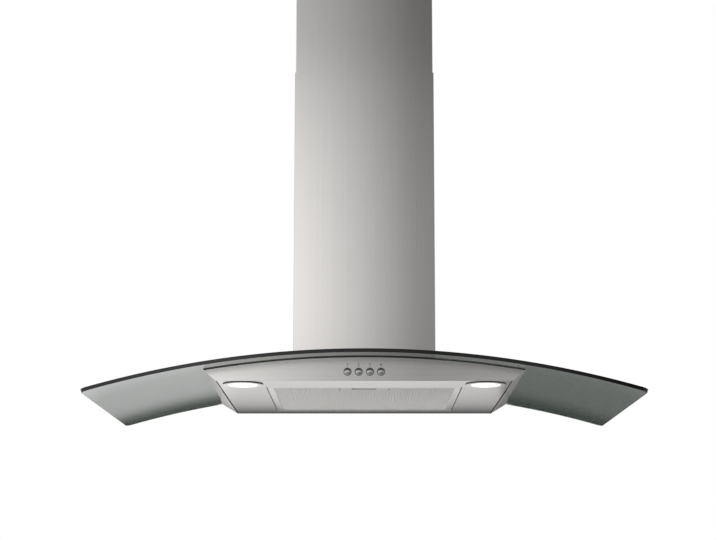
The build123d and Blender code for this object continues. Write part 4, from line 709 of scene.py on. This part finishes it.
def expanded_mesh_tree():
    """Rows of zigzag strands, each row shifted by half a cell, with a cut-out in one edge."""
    tree = bpy.data.node_groups.new("expanded_mesh", "GeometryNodeTree")
    sockets = tree.interface
    sockets.new_socket("Geometry", in_out="OUTPUT", socket_type="NodeSocketGeometry")
    sockets.new_socket("Geometry", in_out="INPUT", socket_type="NodeSocketGeometry")
    for name in ("Width", "Depth", "Cell Long", "Cell Short", "Strand", "Thickness",
                 "Cut Half", "Cut Front"):
        sockets.new_socket(name, in_out="INPUT", socket_type="NodeSocketFloat")
    sockets.new_socket("Centre", in_out="INPUT", socket_type="NodeSocketVector")
    sockets.new_socket("Material", in_out="INPUT", socket_type="NodeSocketMaterial")
    new = tree.nodes.new
    given, out = new("NodeGroupInput"), new("NodeGroupOutput")

    def reckon(operation, first, second=0.0):
        return math_node(tree, operation, first, second)

    def vector(x=0.0, y=0.0):
        node = new("ShaderNodeCombineXYZ")
        for i, value in enumerate((x, y)):
            if isinstance(value, float):
                node.inputs[i].default_value = value
            else:
                link(tree, value, node.inputs[i])
        return node.outputs[0]

    def odd():
        return reckon("MODULO", new("GeometryNodeInputIndex").outputs[0], 2)

    half_long = reckon("MULTIPLY", given.outputs["Cell Long"], 0.5)
    half_short = reckon("MULTIPLY", given.outputs["Cell Short"], 0.5)
    strand = new("GeometryNodeMeshLine")
    link(tree, reckon("ADD", reckon("DIVIDE", given.outputs["Width"], half_long), 2),
         strand.inputs["Count"])
    link(tree, vector(reckon("MULTIPLY", given.outputs["Width"], -0.5)),
         strand.inputs["Start Location"])
    link(tree, vector(half_long), strand.inputs["Offset"])
    bend = new("GeometryNodeSetPosition")
    link(tree, strand.outputs[0], bend.inputs["Geometry"])
    wave = reckon("MULTIPLY", reckon("SUBTRACT", odd(), 0.5), half_short)
    link(tree, vector(0.0, wave), bend.inputs["Offset"])
    curve = new("GeometryNodeMeshToCurve")
    link(tree, bend.outputs[0], curve.inputs[0])
    section = new("GeometryNodeCurvePrimitiveQuadrilateral")
    link(tree, given.outputs["Thickness"], section.inputs["Width"])
    link(tree, given.outputs["Strand"], section.inputs["Height"])
    solid = new("GeometryNodeCurveToMesh")
    solid.inputs["Fill Caps"].default_value = True
    link(tree, curve.outputs[0], solid.inputs["Curve"])
    link(tree, section.outputs[0], solid.inputs["Profile Curve"])

    rows = new("GeometryNodeMeshLine")
    link(tree, reckon("ADD", reckon("DIVIDE", given.outputs["Depth"], half_short), 1),
         rows.inputs["Count"])
    link(tree, vector(0.0, reckon("MULTIPLY", given.outputs["Depth"], -0.5)),
         rows.inputs["Start Location"])
    link(tree, vector(0.0, half_short), rows.inputs["Offset"])
    shift = new("GeometryNodeSetPosition")
    link(tree, rows.outputs[0], shift.inputs["Geometry"])
    link(tree, vector(reckon("MULTIPLY", odd(), reckon("MULTIPLY", half_long, -1.0))),
         shift.inputs["Offset"])
    laid = new("GeometryNodeInstanceOnPoints")
    link(tree, shift.outputs[0], laid.inputs["Points"])
    link(tree, solid.outputs[0], laid.inputs["Instance"])
    real = new("GeometryNodeRealizeInstances")
    link(tree, laid.outputs[0], real.inputs[0])

    spot = new("ShaderNodeSeparateXYZ")
    link(tree, new("GeometryNodeInputPosition").outputs[0], spot.inputs[0])
    wide = reckon("ABSOLUTE", spot.outputs["X"])
    outside = reckon("GREATER_THAN", wide, reckon("MULTIPLY", given.outputs["Width"], 0.5))
    behind = reckon("LESS_THAN", spot.outputs["Y"], given.outputs["Cut Front"])
    inside = reckon("LESS_THAN", wide, given.outputs["Cut Half"])
    cut = reckon("MAXIMUM", outside, reckon("MULTIPLY", behind, inside))
    trimmed = new("GeometryNodeDeleteGeometry")
    trimmed.domain = "FACE"
    link(tree, real.outputs[0], trimmed.inputs["Geometry"])
    link(tree, cut, trimmed.inputs["Selection"])
    placed = new("GeometryNodeTransform")
    link(tree, trimmed.outputs[0], placed.inputs["Geometry"])
    link(tree, given.outputs["Centre"], placed.inputs["Translation"])
    painted = new("GeometryNodeSetMaterial")
    link(tree, placed.outputs[0], painted.inputs["Geometry"])
    link(tree, given.outputs["Material"], painted.inputs["Material"])
    link(tree, painted.outputs[0], out.inputs[0])
    return tree


def grown(name, tree, **values):
    """The mesh that a Geometry Nodes tree makes with these inputs, with no modifier left."""
    holder = put(name, bpy.data.meshes.new(name))
    modifier = holder.modifiers.new(name, "NODES")
    modifier.node_group = tree
    for item in tree.interface.items_tree:
        key = item.name.replace(" ", "_").lower()
        if item.in_out == "INPUT" and key in values:
            modifier[item.identifier] = values[key]
    return plain_mesh(holder)


mesh_low, mesh_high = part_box("mesh_front")
latch_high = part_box("latch_housing")[1]
mesh_middle = (mesh_low + mesh_high) / 2
front_mesh = grown(
    "expanded_front", expanded_mesh_tree(), width=mesh_high.x - mesh_low.x,
    depth=mesh_high.y - mesh_low.y - MESH_CELL_SHORT, cell_long=MESH_CELL_LONG,
    cell_short=MESH_CELL_SHORT, strand=MESH_STRAND, thickness=MESH_SHEET,
    cut_half=latch_high.x + LATCH_GAP, cut_front=latch_high.y + LATCH_GAP - mesh_middle.y,
    centre=tuple(mesh_middle), material=filter_metal)
add_object("expanded_front", front_mesh, filter_metal, "filter", ["mesh_front"])


# ---- Lamps
# A chromed bezel with a black seal round its rim, pushed up into the panel, and a frosted glass
# dome that lies on it with the lit halogen capsule behind.
def lathe(name, outline, steps, closed=False):
    """A turned piece: its (radius, height) outline runs round an upright line through 0."""
    verts, rows, faces = [], [], []
    for radius, height in outline:
        if radius == 0:
            rows.append([len(verts)] * (steps + 1))
            verts.append((0, 0, height))
        else:
            rows.append([len(verts) + i % steps for i in range(steps + 1)])
            verts += [(x, y, height) for x, y in ring_points((0, 0), radius, steps)]
    pairs = list(zip(rows, rows[1:])) + ([(rows[-1], rows[0])] if closed else [])
    for first, second in pairs:
        for i in range(steps):
            loop = [first[i], first[i + 1], second[i + 1], second[i]]
            faces.append(tuple(dict.fromkeys(loop)))
    return solid_mesh(name, verts, faces)


def joined(name, parts):
    """One mesh of several, each with the matrix that puts it in its place."""
    bm = bmesh.new()
    for mesh, matrix in parts:
        copy = mesh.copy()
        copy.transform(matrix)
        bm.from_mesh(copy)
        bpy.data.meshes.remove(copy)
    mesh = bpy.data.meshes.new(name)
    bm.to_mesh(mesh)
    bm.free()
    return shade(mesh)


def box_mesh(low, high):
    """A block between two opposite corners."""
    mesh = bpy.data.meshes.new("box")
    bm = bmesh.new()
    size, middle = Vector(high) - Vector(low), (Vector(high) + Vector(low)) / 2
    bmesh.ops.create_cube(bm, size=1.0, matrix=Matrix.Translation(middle) @ Matrix.Diagonal(
        (*size, 1)))
    bm.to_mesh(mesh)
    bm.free()
    return mesh


ring_low, ring_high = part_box("lamp_rings")
lamp_radius = (ring_high.y - ring_low.y) / 2
lamp_y = (ring_high.y + ring_low.y) / 2
lamp_x = ring_high.x - lamp_radius
LAMP_SIDES = 96
LENS_RADIUS = 24 * MM
LENS_GAP = 0.3 * MM                 # to the bezel's bore
LENS_CREST = 3.6 * MM
RING_PROUD = 2 * MM
RING_INSET = 0.1 * MM               # of the bezel, behind the seal's rim
BORE_ROUND = 0.5 * MM
RIM_ROUND = 0.3 * MM
SEAL = 1.3 * MM
SEAL_HEIGHT = 1.4 * MM
SEAL_GAP = 0.05 * MM
CLIPS = 3
CLIP_RADIUS = 26.7 * MM             # of a clip's inner face
CLIP_SHEET = 1.0 * MM
CLIP_HALF = 3 * MM
CLIP_SINK = 0.2 * MM                # into the bezel
CLIP_TOP = 2.3 * MM
HOOK_REACH = 1.9 * MM
lamp_places = [Matrix.Translation((side * lamp_x, lamp_y, 0)) for side in (-1, 1)]
bore, rim = LENS_RADIUS + LENS_GAP, lamp_radius - RING_INSET
groove, step = rim - SEAL, -SEAL_HEIGHT - SEAL_GAP
bezel = lathe("bezel", [(bore, 0), (bore, -RING_PROUD + BORE_ROUND),
                        (bore + BORE_ROUND, -RING_PROUD), (rim - RIM_ROUND, -RING_PROUD),
                        (rim, -RING_PROUD + RIM_ROUND), (rim, step), (groove, step),
                        (groove, 0)], LAMP_SIDES, closed=True)
clip = box_mesh((CLIP_RADIUS, -CLIP_HALF, -CLIP_SINK),
                (CLIP_RADIUS + CLIP_SHEET, CLIP_HALF, CLIP_TOP))
hook = box_mesh((CLIP_RADIUS, -CLIP_HALF, CLIP_TOP - CLIP_SHEET),
                (CLIP_RADIUS + HOOK_REACH, CLIP_HALF, CLIP_TOP))
bezels = []
for spot in lamp_places:
    bezels.append((bezel, spot))
    for i in range(CLIPS):
        turn = spot @ Matrix.Rotation(2 * math.pi * i / CLIPS, 4, "Z")
        bezels += [(clip, turn), (hook, turn)]


def plated_chrome(name, color, smudges, low, high):
    """Chrome plate whose roughness runs from low to high, with so many smudges in a metre."""
    made, tree, shader = start_material(name, color, Metallic=1.0, Roughness=(low + high) / 2)
    link(tree, ranged(tree, object_noise(tree, smudges), low, high), shader.inputs["Roughness"])
    return made


satin = plated_chrome("satin_chrome", (0.72, 0.71, 0.70), 180, 0.26, 0.36)
add_object("lamp_bezels", joined("lamp_bezels", bezels), satin, "hood", ["lamp_rings"])
seal = lathe("seal", [(groove + SEAL_GAP, 0), (groove + SEAL_GAP, -SEAL_HEIGHT),
                      (rim - RING_INSET, -SEAL_HEIGHT), (lamp_radius, -SEAL_HEIGHT / 2),
                      (lamp_radius, 0)], LAMP_SIDES, closed=True)
add_object("lamp_seals", joined("lamp_seals", [(seal, spot) for spot in lamp_places]), rubber,
           "hood")

LENS_STEPS = 14
LENS_FOOT = 1.8 * MM                # where the dome ends, below the panel
LENS_FLANGE = 1 * MM
LENS_BACK = 1.2 * MM                # of the flange, above the panel
FROST = 1200                        # grains in a metre
FROST_DEPTH = 0.2 * MM


def dome(radius, foot, crest, steps):
    """Outline of a quarter ellipse, from the crest's height to the foot's at the radius."""
    angles = [math.pi / 2 * i / steps for i in range(steps + 1)]
    return [(radius * math.sin(a), foot + (crest - foot) * math.cos(a)) for a in angles]


lens_glass, tree, shader = start_material(
    "lens_glass", (0.9, 0.9, 0.88), Roughness=0.3, Emission_Color=(1.0, 0.985, 0.95, 1),
    Emission_Strength=0.9)
frost = object_noise(tree, FROST)
link(tree, ranged(tree, frost, 0.22, 0.42), shader.inputs["Roughness"])
bumped(tree, shader, frost, strength=0.08, distance=FROST_DEPTH)
flange = LENS_RADIUS + LENS_FLANGE
lens = lathe("lens", dome(LENS_RADIUS, -LENS_FOOT, -LENS_CREST, LENS_STEPS)
             + [(LENS_RADIUS, 0), (flange, 0), (flange, LENS_BACK), (0, LENS_BACK)], LAMP_SIDES)
add_object("lamp_domes", joined("lamp_domes", [(lens, spot) for spot in lamp_places]),
           lens_glass, "hood", ["lamp_lenses"])
bulb_glass = start_material("bulb_glass", (0.95, 0.95, 0.95), Roughness=0.05, IOR=1.47,
                            Transmission_Weight=1.0)[0]
dress(bulb_glass, "lamp_bulbs")

# ---- Push buttons
# Four domed caps of chromed plastic, each on a square stem, stand out of round holes in the fascia.
# A plain grey number is printed above each.
BUTTON_COUNT = 4
BUTTON_RADIUS = 6 * MM
BUTTON_DOME = 4.3 * MM
BUTTON_SKIRT = 9 * MM               # from the crest to the cap's back
BUTTON_SIDES = 48
DOME_STEPS = 10
STEM_HALF = 2.6 * MM
STEM_START = 8.5 * MM               # behind the crest
NUMBER_HEIGHT = 4.8 * MM
NUMBER_RISE = 11.0 * MM             # middle of a number above the middle of its button
FONT_SHARE = 1.4                    # font size for a figure of height 1
INK_SPREAD = 0.12 * MM
INK_THICK = 0.03 * MM
FORWARD = Matrix.Rotation(math.radians(90), 4, "X")
chrome = plated_chrome("chrome", (0.56, 0.56, 0.57), 260, 0.04, 0.1)
ink = moulded("grey_ink", (0.1, 0.1, 0.1), (0.14, 0.14, 0.14), roughness=0.5)
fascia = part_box("body_shell")[0].y
cap = lathe("cap", dome(BUTTON_RADIUS, -BUTTON_DOME, 0, DOME_STEPS)
            + [(BUTTON_RADIUS, -BUTTON_SKIRT), (0, -BUTTON_SKIRT)], BUTTON_SIDES)


def printed_number(number):
    """A flat figure of ink, upright at the origin."""
    text = bpy.data.curves.new(f"number_{number}", "FONT")
    text.body = str(number)
    text.size = NUMBER_HEIGHT * FONT_SHARE
    text.align_x, text.align_y = "CENTER", "CENTER"
    text.extrude = INK_THICK / 2
    text.offset = INK_SPREAD
    return plain_mesh(put("holder", text))


for number in range(1, BUTTON_COUNT + 1):
    low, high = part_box(f"button_{number}")
    x, z = (low.x + high.x) / 2, (low.z + high.z) / 2
    stem = box_mesh((x - STEM_HALF, low.y + STEM_START, z - STEM_HALF),
                    (x + STEM_HALF, high.y, z + STEM_HALF))
    button = joined(f"chrome_button_{number}",
                    [(cap, Matrix.Translation((x, low.y, z)) @ FORWARD),
                     (stem, Matrix.Identity(4))])
    add_object(f"chrome_button_{number}", button, chrome, f"button_{number}",
               [f"button_{number}"])
    printed = printed_number(number)
    printed.transform(Matrix.Translation((x, fascia - INK_THICK, z + NUMBER_RISE)) @ FORWARD)
    add_object(f"printed_{number}", printed, ink, "hood")
